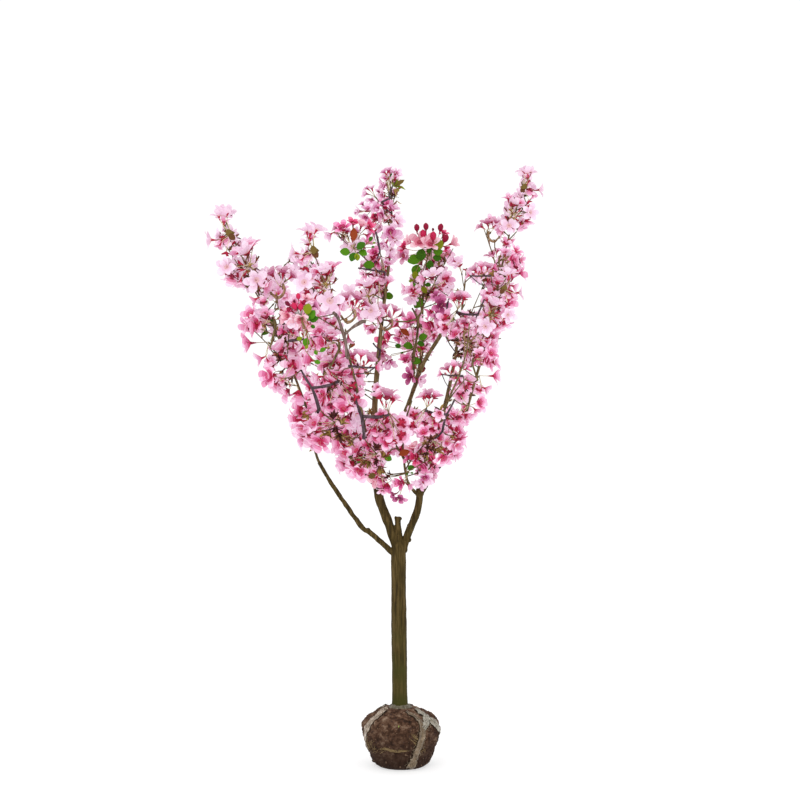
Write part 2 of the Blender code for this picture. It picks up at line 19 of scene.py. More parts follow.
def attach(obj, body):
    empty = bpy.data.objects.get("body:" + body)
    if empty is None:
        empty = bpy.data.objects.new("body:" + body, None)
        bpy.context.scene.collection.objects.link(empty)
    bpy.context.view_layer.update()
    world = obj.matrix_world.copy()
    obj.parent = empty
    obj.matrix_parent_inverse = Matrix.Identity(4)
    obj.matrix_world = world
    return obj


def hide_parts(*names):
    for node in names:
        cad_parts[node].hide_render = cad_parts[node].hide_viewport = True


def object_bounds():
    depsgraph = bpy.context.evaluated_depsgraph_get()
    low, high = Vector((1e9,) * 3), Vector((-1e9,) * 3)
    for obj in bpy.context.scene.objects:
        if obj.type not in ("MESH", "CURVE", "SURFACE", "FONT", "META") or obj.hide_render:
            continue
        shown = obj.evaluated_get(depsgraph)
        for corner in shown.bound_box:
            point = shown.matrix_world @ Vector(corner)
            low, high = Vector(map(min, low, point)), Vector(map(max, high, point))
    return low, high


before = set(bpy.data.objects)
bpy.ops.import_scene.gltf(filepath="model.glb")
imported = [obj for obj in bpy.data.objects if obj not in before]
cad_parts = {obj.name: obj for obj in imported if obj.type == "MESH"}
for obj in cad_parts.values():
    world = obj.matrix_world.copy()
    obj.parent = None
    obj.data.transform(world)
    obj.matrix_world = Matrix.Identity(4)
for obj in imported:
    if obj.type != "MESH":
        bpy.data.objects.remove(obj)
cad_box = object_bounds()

print("solids:", len(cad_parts), "box:", [round(v, 3) for v in (*cad_box[0], *cad_box[1])])

# %% [markdown]
# The photograph looks level at the tree from the front, against plain white. A lens of about 68 mm
# at four metres gives the same view: 800 pixels span 2.112 m at the trunk, 2.64 mm each.

# %% Camera
CAMERA_BACK = 4.0
CAMERA_HIGH = 0.962
FRAME_WIDE = 2.112  # what the picture spans at the trunk
SENSOR = 36.0

bpy.ops.object.camera_add(location=(0, -CAMERA_BACK, CAMERA_HIGH), rotation=(math.pi / 2, 0, 0))
camera = bpy.context.object
camera.data.sensor_width = SENSOR
camera.data.lens = SENSOR * CAMERA_BACK / FRAME_WIDE
bpy.context.scene.camera = camera
print("lens:", round(camera.data.lens, 1), "mm")

# %% [markdown]
# Colours are noted as sRGB hex codes, the way a paint or screen colour is written down. Shaders work
# in linear light, so one function converts them. A second function adds any node with its settings
# and links, and a third starts a material from its plain colour and roughness.

# %% Colour and node helpers
def linear(code):
    """The linear colour of an sRGB hex code."""
    parts = [int(code[i:i + 2], 16) / 255 for i in (1, 3, 5)]
    return [c / 12.92 if c <= 0.04045 else ((c + 0.055) / 1.055) ** 2.4 for c in parts] + [1.0]


def add_node(tree, kind, settings=None, links=None):
    """Add a node, set its sockets and properties, and link its inputs."""
    node = tree.nodes.new(kind)
    for key, value in (settings or {}).items():
        if isinstance(key, int) or key in node.inputs:
            node.inputs[key].default_value = value
        else:
            setattr(node, key, value)
    for key, source in (links or {}).items():
        tree.links.new(source, node.inputs[key])
    return node


def start_material(name, code, roughness, **sockets):
    """A material with a plain colour. Returns it with its tree and shader, for patterns."""
    made = bpy.data.materials.new(name)
    made.use_nodes = True
    tree = made.node_tree
    shader = tree.nodes["Principled BSDF"]
    shader.inputs["Base Color"].default_value = linear(code)
    shader.inputs["Roughness"].default_value = roughness
    for key, value in sockets.items():
        shader.inputs[key.replace("_", " ")].default_value = value
    made.diffuse_color = linear(code)
    return made, tree, shader


def ramp(tree, factor, stops):
    """A colour ramp from (position, hex code) stops."""
    node = add_node(tree, "ShaderNodeValToRGB", links={"Fac": factor})
    points = node.color_ramp.elements
    while len(points) < len(stops):
        points.new(1.0)
    for point, (position, code) in zip(points, stops):
        point.position = position
        point.color = linear(code)
    return node.outputs["Color"]


# %% [markdown]
# The picture is a cut-out with soft, even light and no hard shadow. A white world gives that light,
# and two big soft lamps in front and above shape the limbs a little. The floor is a plain pale board.

# %% Floor and light
FLOOR_SIDE = 30.0
FLOOR_DROP = 0.0003  # the floor lies this far under the ball, so that they don't flicker
WORLD_LIGHT = 1.06

bpy.ops.mesh.primitive_plane_add(size=FLOOR_SIDE, location=(0, 0, -FLOOR_DROP))
floor = bpy.context.object
floor.name = "floor"
board = start_material("pale_floor_board", "#bcbcbc", 0.9, Emission_Color=(1, 1, 1, 1),
                       Emission_Strength=0.55)[0]  # its own light keeps the shadow on it faint
floor.data.materials.append(board)

world = bpy.data.worlds.new("white_room")
world.use_nodes = True
world.node_tree.nodes["Background"].inputs["Color"].default_value = (1, 1, 1, 1)
world.node_tree.nodes["Background"].inputs["Strength"].default_value = WORLD_LIGHT
bpy.context.scene.world = world

LAMPS = {  # place, size, watts
    "key_lamp": ((-1.6, -3.0, 2.9), 2.2, 32.0),
    "fill_lamp": ((2.2, -2.4, 1.6), 2.4, 16.0),
}
for name, (place, size, watts) in LAMPS.items():
    bpy.ops.object.light_add(type="AREA", location=place)
    lamp = bpy.context.object
    lamp.name = name
    lamp.data.size = size
    lamp.data.energy = watts
    lamp.rotation_euler = (Vector((0, 0, 0.8)) - Vector(place)).to_track_quat("-Z", "Y").to_euler()
bpy.context.scene.view_settings.view_transform = "Standard"
print("lamps:", ", ".join(LAMPS))

# %% [markdown]
# The tree's sizes. They are the ones its solids were built from, in metres: the root ball's outline,
# the trunk's girth, the points that each bough and each stem passes by, and how far each mass of
# blossom reaches sideways. Everything below is worked out from them.

# %% Sizes of the tree
GAP = 0.0003
BALL_HEIGHT = 0.153
BALL_GIRTH = 0.103
BALL_SLEW = 0.004
BALL_OUTLINE = [  # (height, radius) as shares of the height and girth
    (0.00, 0.60), (0.07, 0.74), (0.18, 0.79), (0.33, 0.89), (0.47, 0.98), (0.60, 1.00),
    (0.71, 0.97), (0.83, 0.86), (0.92, 0.65), (0.98, 0.42), (1.00, 0.26),
]
TRUNK_AXIS = [(0.0, 0.0), (0.146, -0.0018), (0.370, -0.0042), (0.432, -0.0045), (0.500, -0.0068)]
TRUNK_GIRTH = [  # (height above the soil, radius)
    (0.000, 0.0222), (0.012, 0.0204), (0.060, 0.0199), (0.200, 0.0198), (0.330, 0.0195),
    (0.385, 0.0199), (0.420, 0.0180), (0.445, 0.0122), (0.480, 0.0076), (0.494, 0.0074),
    (0.4975, 0.0086), (0.500, 0.0084),
]
BOUGHS = {  # points, radius at the foot and the tip
    "bough_left": ([(-0.003, 0.000, 0.560), (-0.024, 0.000, 0.621), (-0.041, 0.000, 0.663),
                    (-0.058, -0.003, 0.711), (-0.062, -0.005, 0.785)], 0.0126, 0.0116),
    "bough_right": ([(0.003, 0.000, 0.556), (0.020, 0.000, 0.606), (0.032, 0.000, 0.635),
                     (0.049, 0.000, 0.676), (0.055, 0.000, 0.738)], 0.0100, 0.0092),
    "bough_far_left": ([(-0.008, 0.000, 0.548), (-0.083, -0.020, 0.6195), (-0.094, -0.026, 0.6195),
                        (-0.1345, -0.058, 0.679), (-0.186, -0.092, 0.760),
                        (-0.208, -0.100, 0.802)], 0.0072, 0.0046),
    "bough_far_right": ([(0.053, 0.000, 0.708), (0.087, 0.000, 0.767), (0.121, 0.000, 0.804),
                         (0.138, -0.004, 0.830)], 0.0052, 0.0042),
    "bough_inner_right": ([(-0.062, -0.004, 0.760), (-0.050, 0.018, 0.786),
                           (-0.040, 0.034, 0.808)], 0.0068, 0.0058),
    "bough_front_left": ([(-0.062, -0.004, 0.750), (-0.070, -0.028, 0.780),
                          (-0.076, -0.044, 0.803)], 0.0066, 0.0058),
    "bough_back_left": ([(-0.061, -0.004, 0.740), (-0.082, 0.024, 0.772),
                         (-0.100, 0.050, 0.800)], 0.0062, 0.0052),
    "bough_front_right": ([(0.055, 0.000, 0.728), (0.063, -0.016, 0.750),
                           (0.070, -0.032, 0.774)], 0.0064, 0.0056),
    "bough_back_right": ([(0.054, 0.000, 0.720), (0.064, 0.022, 0.750),
                          (0.072, 0.042, 0.778)], 0.0060, 0.0052),
    "bough_low_left": ([(-0.060, -0.004, 0.732), (-0.090, -0.026, 0.762)], 0.0050, 0.0044),
    "bough_low_right": ([(0.052, 0.000, 0.704), (0.034, -0.026, 0.726)], 0.0044, 0.0038),
}
MASSES = {  # bough, stem points, reach at foot, middle and tip, seed
    "blossom_far_left": ("bough_far_left", [
        (-0.218, -0.110, 0.885), (-0.286, -0.110, 1.065), (-0.368, -0.100, 1.245),
        (-0.456, -0.080, 1.436)], (0.056, 0.092, 0.048), 1),
    "blossom_front_left": ("bough_front_left", [
        (-0.100, -0.150, 0.950), (-0.141, -0.225, 1.130), (-0.206, -0.262, 1.308),
        (-0.220, -0.268, 1.348)], (0.078, 0.094, 0.046), 2),
    "blossom_back_left": ("bough_back_left", [
        (-0.185, 0.160, 0.945), (-0.240, 0.240, 1.130), (-0.245, 0.280, 1.350)],
        (0.074, 0.090, 0.046), 3),
    "blossom_centre": ("bough_left", [
        (-0.070, -0.005, 0.930), (-0.050, 0.012, 1.160), (-0.026, 0.030, 1.350),
        (-0.020, 0.035, 1.430), (-0.026, 0.050, 1.548)], (0.068, 0.064, 0.050), 4),
    "blossom_back": ("bough_inner_right", [
        (0.015, 0.110, 0.927), (0.064, 0.200, 1.070), (0.060, 0.280, 1.230),
        (0.086, 0.320, 1.424)], (0.060, 0.064, 0.068), 5),
    "blossom_right": ("bough_far_right", [
        (0.172, -0.005, 0.920), (0.200, -0.005, 1.020), (0.236, 0.000, 1.140),
        (0.275, 0.010, 1.350), (0.330, 0.020, 1.545)], (0.054, 0.086, 0.048), 6),
    "blossom_front_right": ("bough_front_right", [
        (0.106, -0.100, 0.923), (0.166, -0.190, 1.060), (0.172, -0.240, 1.150)],
        (0.076, 0.080, 0.052), 7),
    "blossom_back_right": ("bough_back_right", [
        (0.120, 0.130, 0.930), (0.160, 0.190, 1.110), (0.186, 0.230, 1.330)],
        (0.072, 0.074, 0.048), 8),
    "blossom_low_left": ("bough_low_left", [
        (-0.130, -0.062, 0.815), (-0.165, -0.080, 0.870), (-0.180, -0.130, 0.990)],
        (0.076, 0.084, 0.056), 9),
    "blossom_low_right": ("bough_low_right", [
        (0.012, -0.056, 0.780), (0.004, -0.090, 0.880), (0.030, -0.140, 0.960)],
        (0.076, 0.084, 0.064), 10),
}
SHOOTS = {  # side shoots: the share of the stem where each leaves it, and its tip
    "blossom_far_left": [(0.62, (-0.460, -0.110, 1.378)), (0.52, (-0.300, -0.080, 1.310)),
                         (0.36, (-0.385, -0.110, 1.150))],
    "blossom_centre": [(0.66, (-0.165, 0.000, 1.395))],
    "blossom_back": [(0.70, (0.150, 0.280, 1.390))],
    "blossom_back_right": [(0.62, (0.245, 0.250, 1.310))],
    "blossom_right": [(0.62, (0.215, 0.030, 1.440)), (0.84, (0.352, 0.010, 1.500))],
    "blossom_front_right": [(0.50, (0.170, -0.150, 1.020))],
    "blossom_low_left": [(0.30, (-0.090, -0.130, 0.890)), (0.40, (-0.225, -0.125, 0.915))],
    "blossom_low_right": [(0.30, (0.075, -0.115, 0.860)), (0.45, (-0.045, -0.140, 0.905))],
}
SHOOT_REACH = (0.046, 0.050, 0.044)
STEM_GIRTHS = {  # radii at foot, middle and tip of the stems that the photograph shows bare
    "blossom_far_left": (0.0036, 0.0026, 0.0012), "blossom_front_left": (0.0056, 0.0030, 0.0008),
    "blossom_centre": (0.0095, 0.0052, 0.0016), "blossom_back": (0.0066, 0.0052, 0.0018),
    "blossom_right": (0.0041, 0.0032, 0.0014), "blossom_front_right": (0.0054, 0.0026, 0.0014),
    "blossom_back_right": (0.0062, 0.0050, 0.0018),
}
STEM_STRAIGHT = (0.008, 0.028)  # a stem runs straight on from its bough past these two points
SHOOT_KNEE = 0.35
print("boughs:", len(BOUGHS), "masses:", len(MASSES))


# %% [markdown]
# Limbs follow smooth lines. Cutting the corners of a given line twice rounds its knees, and
# points at equal steps along it give even rings. These few functions serve every limb, twig and
# pedicel.

# %% Lines and tubes
def smooth_path(points, rounds=2):
    """Corner cutting: the line keeps its ends and rounds every knee."""
    path = [Vector(p) for p in points]
    for _ in range(rounds):
        cut = [path[0]]
        for a, b in zip(path, path[1:]):
            cut += [a.lerp(b, 0.25), a.lerp(b, 0.75)]
        path = cut + [path[-1]]
    return path


def resample(path, step):
    """Points at about equal steps along a line."""
    lengths = [(b - a).length for a, b in zip(path, path[1:])]
    total = sum(lengths)
    count = max(2, round(total / step))
    points = [path[0].copy()]
    for i in range(1, count):
        aim = total * i / count
        for a, b, length in zip(path, path[1:], lengths):
            if aim <= length:
                points.append(a.lerp(b, aim / length))
                break
            aim -= length
    return points + [path[-1].copy()]


def blend(values, share):
    """A value between the foot, middle and tip values."""
    if share < 0.5:
        return values[0] + (values[1] - values[0]) * share * 2
    return values[1] + (values[2] - values[1]) * (share * 2 - 1)


def read_outline(outline, height):
    """Linear reading of a list of (height, size)."""
    for (h0, r0), (h1, r1) in zip(outline, outline[1:]):
        if height <= h1:
            return r0 + (r1 - r0) * (height - h0) / (h1 - h0)
    return outline[-1][1]


def side_of(direction):
    """Any unit vector square to a direction."""
    rough = Vector((0, 0, 1)) if abs(direction.z) < 0.9 else Vector((1, 0, 0))
    return direction.cross(rough).normalized()


def tube(path, radii, sides):
    """Points and faces of a closed tapering tube along a line."""
    points, faces = [], []
    side = None
    for i, centre in enumerate(path):
        along = (path[min(i + 1, len(path) - 1)] - path[max(i - 1, 0)]).normalized()
        side = side_of(along) if side is None else (side - along * side.dot(along)).normalized()
        across = along.cross(side)
        for k in range(sides):
            angle = math.tau * k / sides
            points.append(centre + (side * math.cos(angle) + across * math.sin(angle)) * radii[i])
    for i in range(len(path) - 1):
        for k in range(sides):
            a, b = i * sides + k, i * sides + (k + 1) % sides
            faces.append((a, b, b + sides, a + sides))
    faces.append(tuple(reversed(range(sides))))
    faces.append(tuple(range(len(points) - sides, len(points))))
    return points, faces


# %% [markdown]
# A small set of helpers for work by hand in code: pick vertices by their place in edit mode, as a box
# select would, and close a piece with its body and the solids it stands for.

# %% Modelling helpers
def deselect():
    if bpy.context.object and bpy.context.object.mode != "OBJECT":
        bpy.ops.object.mode_set(mode="OBJECT")
    bpy.ops.object.select_all(action="DESELECT")


def pick(obj, test):
    """In edit mode, select the vertices whose place passes a test."""
    shell = bmesh.from_edit_mesh(obj.data)
    for vert in shell.verts:
        vert.select_set(bool(test(vert.co)))
    shell.select_flush_mode()
    bmesh.update_edit_mesh(obj.data)


def edit(obj):
    """Make an object the only one selected, and enter its edit mode."""
    deselect()
    obj.select_set(True)
    bpy.context.view_layer.objects.active = obj
    bpy.ops.object.mode_set(mode="EDIT")


def apply_all(obj):
    """Apply an object's modifiers, as the Apply button does."""
    deselect()
    obj.select_set(True)
    bpy.context.view_layer.objects.active = obj
    for modifier in list(obj.modifiers):
        bpy.ops.object.modifier_apply(modifier=modifier.name)


def close_piece(obj, name, slot, *nodes):
    """Name a finished piece and hang it on the tree's one body."""
    obj.name = name
    obj.data.name = name
    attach(obj, "root")
    if nodes:
        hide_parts(*nodes)
    obj.data.calc_loop_triangles()
    print(name, len(obj.data.loop_triangles), "triangles")


# %% [markdown]
# Bark of a young crabapple is thin and smooth: olive brown, with long pale and dark streaks, a green
# tinge low on the stem, and small level dashes, the pores that a twig breathes through. The streaks
# are noise drawn out along the limb. The pores are Voronoi cells squeezed flat, about 4 mm wide.

# %% Bark material
def bark(name, dark, middle, light, green):
    made, tree, shader = start_material(name, middle, 0.75, Specular_IOR_Level=0.12)
    place = add_node(tree, "ShaderNodeTexCoord").outputs["Object"]
    long = add_node(tree, "ShaderNodeMapping", {"Scale": (1, 1, 0.09)}, {"Vector": place})
    streak = add_node(tree, "ShaderNodeTexNoise", {"Scale": 170, "Detail": 5, "Roughness": 0.6},
                      {"Vector": long.outputs[0]})
    colour = ramp(tree, streak.outputs["Fac"], [(0.30, dark), (0.50, middle), (0.72, light)])
    patch = add_node(tree, "ShaderNodeTexNoise", {"Scale": 14, "Detail": 2}, {"Vector": place})
    parts = add_node(tree, "ShaderNodeSeparateXYZ", links={"Vector": place})
    low = add_node(tree, "ShaderNodeMapRange", {"From Min": 0.15, "From Max": 0.50, "To Min": 1.0,
                                                "To Max": 0.45}, {"Value": parts.outputs["Z"]})
    patch = add_node(tree, "ShaderNodeMath", {"operation": "MULTIPLY"},
                     {0: patch.outputs["Fac"], 1: low.outputs[0]})
    share = add_node(tree, "ShaderNodeMapRange", {"From Min": 0.30, "From Max": 0.60},
                     {"Value": patch.outputs[0]})
    tinged = add_node(tree, "ShaderNodeMix", {"data_type": "RGBA", "blend_type": "MIX"})
    tree.links.new(share.outputs[0], tinged.inputs[0])
    tree.links.new(colour, tinged.inputs[6])
    tinged.inputs[7].default_value = linear(green)
    flat = add_node(tree, "ShaderNodeMapping", {"Scale": (0.35, 0.35, 1.6)}, {"Vector": place})
    pores = add_node(tree, "ShaderNodeTexVoronoi", {"Scale": 160}, {"Vector": flat.outputs[0]})
    pore = add_node(tree, "ShaderNodeMapRange", {"From Min": 0.06, "From Max": 0.12,
                                                 "To Min": 1.0, "To Max": 0.0},
                    {"Value": pores.outputs["Distance"]})
    spotted = add_node(tree, "ShaderNodeMix", {"data_type": "RGBA"})
    tree.links.new(pore.outputs[0], spotted.inputs[0])
    tree.links.new(tinged.outputs[2], spotted.inputs[6])
    spotted.inputs[7].default_value = linear(light)
    tree.links.new(spotted.outputs[2], shader.inputs["Base Color"])
    relief = add_node(tree, "ShaderNodeMath", {"operation": "ADD"},
                      {0: streak.outputs["Fac"], 1: pore.outputs[0]})
    bump = add_node(tree, "ShaderNodeBump", {"Strength": 0.5, "Distance": 0.0006},
                    {"Height": relief.outputs[0]})
    tree.links.new(bump.outputs[0], shader.inputs["Normal"])
    return made


trunk_bark = bark("young_crabapple_bark", "#1f1606", "#423516", "#645230", "#3b3a14")
twig_bark = bark("crabapple_twig_bark", "#3a311f", "#695b39", "#92805c", "#56522a")
fork_bark = bark("grey_purple_twig", "#2a2023", "#4b3c42", "#6e5d64", "#3c3034")
hook_bark = bark("tan_spur_bark", "#3c2a20", "#8a6a4c", "#b39a7c", "#6c5030")
grey_bark = bark("grey_brown_twig", "#3a2c27", "#6e5b53", "#988780", "#5c5245")


# %% [markdown]
# The trunk and boughs are grown together, with a swollen collar at each fork and no seam. A curve
# with a bevel gives each limb its true taper. The limbs are joined, a voxel remesh welds them into
# one skin, and a smooth modifier rounds the crotches. Then code moves the skin like a sculptor's
# brush: long shallow flutes along the trunk, and knuckles where small shoots were pruned away.

# %% Trunk and boughs
LIMB_STEP = 0.008
LIMB_VOXEL = 0.0015
KNUCKLES = [  # place, radius: pruned shoots, scars and the cut lip of the leader
    ((0.0235, -0.006, 0.5935), 0.0066), ((0.0275, -0.004, 0.630), 0.0088),
    ((0.0480, -0.004, 0.722), 0.0066), ((-0.084, -0.022, 0.6210), 0.0056),
    ((-0.130, -0.057, 0.6720), 0.0054), ((-0.0115, -0.002, 0.6515), 0.0042),
    ((0.0005, -0.002, 0.6490), 0.0042), ((0.009, 0.004, 0.567), 0.0105),
    ((-0.016, 0.000, 0.562), 0.0100), ((-0.060, 0.004, 0.744), 0.0130),
    ((0.053, 0.004, 0.716), 0.0105),
]


def bevelled_curve(path, radii):
    """A limb as a curve with a round bevel, made a mesh."""
    bpy.ops.curve.primitive_nurbs_path_add()
    limb = bpy.context.object
    limb.data.splines.clear()
    spline = limb.data.splines.new("POLY")
    spline.points.add(len(path) - 1)
    for point, place, radius in zip(spline.points, path, radii):
        point.co = (*place, 1)
        point.radius = radius
    limb.data.bevel_depth = 1.0
    limb.data.bevel_resolution = 5
    limb.data.use_fill_caps = True
    bpy.ops.object.convert(target="MESH")
    return bpy.context.object


def wobble(place, size, seed):
    """Natural unevenness of a limb's girth."""
    return 1 + size * noise.noise(place * 55 + Vector((seed, 0, 0)))


deselect()
limbs = []
heights = [i * LIMB_STEP for i in range(int(0.500 / LIMB_STEP) + 1)] + [0.4965, 0.4985, 0.500]
heights = sorted(set(round(h, 4) for h in heights))
path = [Vector((read_outline(TRUNK_AXIS, h), 0, BALL_HEIGHT + GAP + h)) for h in heights]
radii = [read_outline(TRUNK_GIRTH, h) * wobble(p, 0.035, 0) for h, p in zip(heights, path)]
limbs.append(bevelled_curve(path, radii))
for order, (points, thick, thin) in enumerate(BOUGHS.values()):
    path = resample(smooth_path(points), LIMB_STEP)
    radii = [(thick + (thin - thick) * i / (len(path) - 1)) * wobble(p, 0.10, order + 1)
             for i, p in enumerate(path)]
    limbs.append(bevelled_curve(path, radii))
for place, radius in KNUCKLES:
    bpy.ops.mesh.primitive_ico_sphere_add(subdivisions=3, radius=radius, location=place)
    limbs.append(bpy.context.object)
deselect()
for limb in limbs:
    limb.select_set(True)
bpy.context.view_layer.objects.active = limbs[0]
bpy.ops.object.join()
skin = bpy.context.object
bpy.ops.object.transform_apply(location=True, rotation=True, scale=True)
weld = skin.modifiers.new("weld", "REMESH")
weld.mode = "VOXEL"
weld.voxel_size = LIMB_VOXEL
rounding = skin.modifiers.new("rounding", "SMOOTH")
rounding.factor = 0.5
rounding.iterations = 5
apply_all(skin)
print("limbs welded:", len(skin.data.polygons), "faces")

# %% Bark relief
FLUTE = 0.0013  # depth of the long flutes
GRAIN = 0.00045  # height of the fine grain
SWELL = 0.0006  # what the rounding took from the limbs' girth
moves = []
for vert in skin.data.vertices:
    p = vert.co
    long = Vector((p.x * 90, p.y * 90, p.z * 7))
    fine = Vector((p.x * 420, p.y * 420, p.z * 70))
    moves.append(vert.normal * (FLUTE * noise.noise(long) + GRAIN * noise.noise(fine) + SWELL))
for vert, move in zip(skin.data.vertices, moves):
    vert.co += move
skin.data.materials.clear()
skin.data.materials.append(trunk_bark)
skin.data.shade_smooth()
close_piece(skin, "bark_of_trunk_and_boughs", "bark", "trunk", *BOUGHS)

# %% [markdown]
# Field soil held together by fine roots: red brown, darker towards the foot, with crumbs, clods and
# pores. A noise mixes the browns, they darken towards the foot, and a finer noise gives the crumb a
# bump of about 1 mm.

# %% Earth material
earth, tree, shader = start_material("moist_red_brown_earth", "#4a3022", 0.95,
                                     Specular_IOR_Level=0.2)
place = add_node(tree, "ShaderNodeTexCoord").outputs["Object"]
clods = add_node(tree, "ShaderNodeTexNoise", {"Scale": 56, "Detail": 9, "Roughness": 0.74},
                 {"Vector": place})
browns = ramp(tree, clods.outputs["Fac"], [(0.36, "#20140c"), (0.46, "#432c1e"), (0.55, "#644a39"),
                                           (0.68, "#988470")])
parts = add_node(tree, "ShaderNodeSeparateXYZ", links={"Vector": place})
# the earth grows darker towards the foot of the ball, by height alone
foot_darkening = add_node(tree, "ShaderNodeMapRange", {"From Min": 0.015, "From Max": 0.13, "To Min": 0.90,
                                             "To Max": 0.0}, {"Value": parts.outputs["Z"]})
darker_at_foot = add_node(tree, "ShaderNodeMix", {"data_type": "RGBA"})
tree.links.new(foot_darkening.outputs[0], darker_at_foot.inputs[0])
tree.links.new(browns, darker_at_foot.inputs[6])
darker_at_foot.inputs[7].default_value = linear("#26150c")
tree.links.new(darker_at_foot.outputs[2], shader.inputs["Base Color"])
crumb = add_node(tree, "ShaderNodeTexNoise", {"Scale": 380, "Detail": 5}, {"Vector": place})
bump = add_node(tree, "ShaderNodeBump", {"Strength": 0.9, "Distance": 0.0024},
                {"Height": crumb.outputs["Fac"]})
tree.links.new(bump.outputs[0], shader.inputs["Normal"])

# %% [markdown]
# The ball was cut with a spade and shaped by hand, so it is round above and drawn in to a flat foot.
# A disc is extruded ring by ring to the outline, a voxel remesh evens its skin, and noise at three
# sizes swells, dents and crumbles it. The foot stays flat on the ground.

# %% Root ball
BALL_SIDES = 96
BALL_VOXEL = 0.0019
LUMPS = 0.0035
CLODS = 0.0036
CRUMBS = 0.0015

deselect()
bpy.ops.mesh.primitive_circle_add(vertices=BALL_SIDES, radius=BALL_GIRTH * BALL_OUTLINE[0][1],
                                  fill_type="NGON", location=(0, 0, 0))
ball = bpy.context.object
bpy.ops.object.mode_set(mode="EDIT")
bpy.ops.mesh.select_all(action="SELECT")
bpy.ops.transform.translate(value=(BALL_SLEW, 0, 0))
for (h0, r0), (h1, r1) in zip(BALL_OUTLINE, BALL_OUTLINE[1:]):
    step = Vector((-BALL_SLEW * (h1 - h0), 0, BALL_HEIGHT * (h1 - h0)))
    bpy.ops.mesh.extrude_region_move(TRANSFORM_OT_translate={"value": step})
    bpy.ops.transform.resize(value=(r1 / r0, r1 / r0, 1))
bpy.ops.mesh.select_all(action="SELECT")
bpy.ops.mesh.normals_make_consistent(inside=False)
bpy.ops.object.mode_set(mode="OBJECT")
even = ball.modifiers.new("even", "REMESH")
even.mode = "VOXEL"
even.voxel_size = BALL_VOXEL
apply_all(ball)


def crumble(p):
    """How far the earth stands out at a place."""
    angle = math.atan2(p.y, p.x)
    around = Vector((math.cos(angle), math.sin(angle), 0))
    swell = LUMPS * noise.noise(around * 2.1 + Vector((0, 0, p.z * 22)))
    clod = CLODS * (noise.noise(p * 48) + 0.5 * noise.noise(p * 110 + Vector((7, 0, 0))))
    cracks = -0.0016 * max(0.0, 1 - 7 * abs(noise.noise(p * 70 + Vector((0, 9, 0)))))
    return swell + clod + cracks + CRUMBS * noise.noise(p * 320)


SEAM_HEIGHT = 0.063  # a dried edge of clay runs level across the front
SEAM_STEP = 0.0030
moves = []
for vert in ball.data.vertices:
    p = vert.co
    free = min(1.0, max(0.0, (p.z - 0.001) / 0.006)) * min(1.0, max(0.0, (0.152 - p.z) / 0.003))
    angle = math.degrees(math.atan2(p.y, p.x))
    low = SEAM_HEIGHT - 0.006 * math.cos(math.radians((angle + 88) * 2.2))
    near = max(0.0, 1 - abs(angle + 88) / 34)
    ledge = SEAM_STEP * near ** 0.5 * math.exp(-((p.z - low - 0.002) / 0.004) ** 2)
    groove = -SEAM_STEP * near ** 0.5 * math.exp(-((p.z - low + 0.005) / 0.003) ** 2)
    moves.append(vert.normal * (crumble(p) + ledge + groove) * free)
for vert, move in zip(ball.data.vertices, moves):
    vert.co += move
    vert.co.z = max(vert.co.z, 0.0)
ball.data.materials.append(earth)
ball.data.shade_smooth()
close_piece(ball, "earth_of_root_ball", "earth", "root_ball")
ball_skin = BVHTree.FromPolygons([v.co for v in ball.data.vertices],
                                 [p.vertices for p in ball.data.polygons])
BALL_HEART = Vector((BALL_SLEW / 2, 0, BALL_HEIGHT / 2))


def on_ball(azimuth, height, lift=0.0):
    """A place on the ball's skin, and the way out from it."""
    radius = BALL_GIRTH * read_outline(BALL_OUTLINE, height / BALL_HEIGHT)
    angle = math.radians(azimuth)
    aim = Vector((radius * math.cos(angle), radius * math.sin(angle), height))
    place, normal, _, _ = ball_skin.ray_cast(BALL_HEART, (aim - BALL_HEART).normalized())
    return place + normal * lift, normal


# %% [markdown]
# Small things are gathered in heaps: lists of points and faces, with the finish of each face. A heap
# becomes one mesh at the end. That way thousands of petals stay quick to make and easy to export.

# %% Heaps of small shapes
class Heap:
    """Points, faces and finishes of many small shapes that become one mesh."""

    def __init__(self):
        self.points, self.faces, self.finish, self.names = [], [], [], []

    def slot_of(self, name):
        if name not in self.names:
            self.names.append(name)
        return self.names.index(name)

    def add(self, points, faces, names):
        """Add faces, all in one finish or each in its own."""
        base = len(self.points)
        self.points += [tuple(p) for p in points]
        self.faces += [tuple(base + i for i in face) for face in faces]
        if isinstance(names, str):
            names = [names] * len(faces)
        self.finish += [self.slot_of(name) for name in names]

    def piece(self, name, slot, *nodes, smooth=True):
        """The heap as a finished piece."""
        mesh = bpy.data.meshes.new(name)
        mesh.from_pydata(self.points, [], self.faces)
        for finish in self.names:
            mesh.materials.append(bpy.data.materials[finish])
        mesh.polygons.foreach_set("material_index", self.finish)
        if smooth:
            mesh.shade_smooth()
        made = bpy.data.objects.new(name, mesh)
        bpy.context.scene.collection.objects.link(made)
        close_piece(made, name, slot, *nodes)
        return made


def read_shape(obj, part_of=None):
    """A modelled shape's points, faces and the part that each face is, then the object goes."""
    mesh = obj.data
    points = np.array([v.co for v in mesh.vertices])
    faces = [tuple(p.vertices) for p in mesh.polygons]
    parts = [part_of(p.center) if part_of else "all" for p in mesh.polygons]
    bpy.data.objects.remove(obj, do_unlink=True)
    return points, faces, parts


def put(heap, shape, turn, place, size, names):
    """Put a copy of a shape in a heap: turned, sized and placed, its parts in the named finishes."""
    points, faces, parts = shape
    moved = points @ np.array(turn).T * size + np.array(place)
    heap.add(moved.tolist(), faces, [names[part] for part in parts])


# %% [markdown]
# The ball sheds crumbs and holds pale root hairs, fanned out at the left and right where the photograph
# shows them, like straw. The crumbs are small stones of earth pressed half into the skin. The hairs
# are thin tubes that hug it.

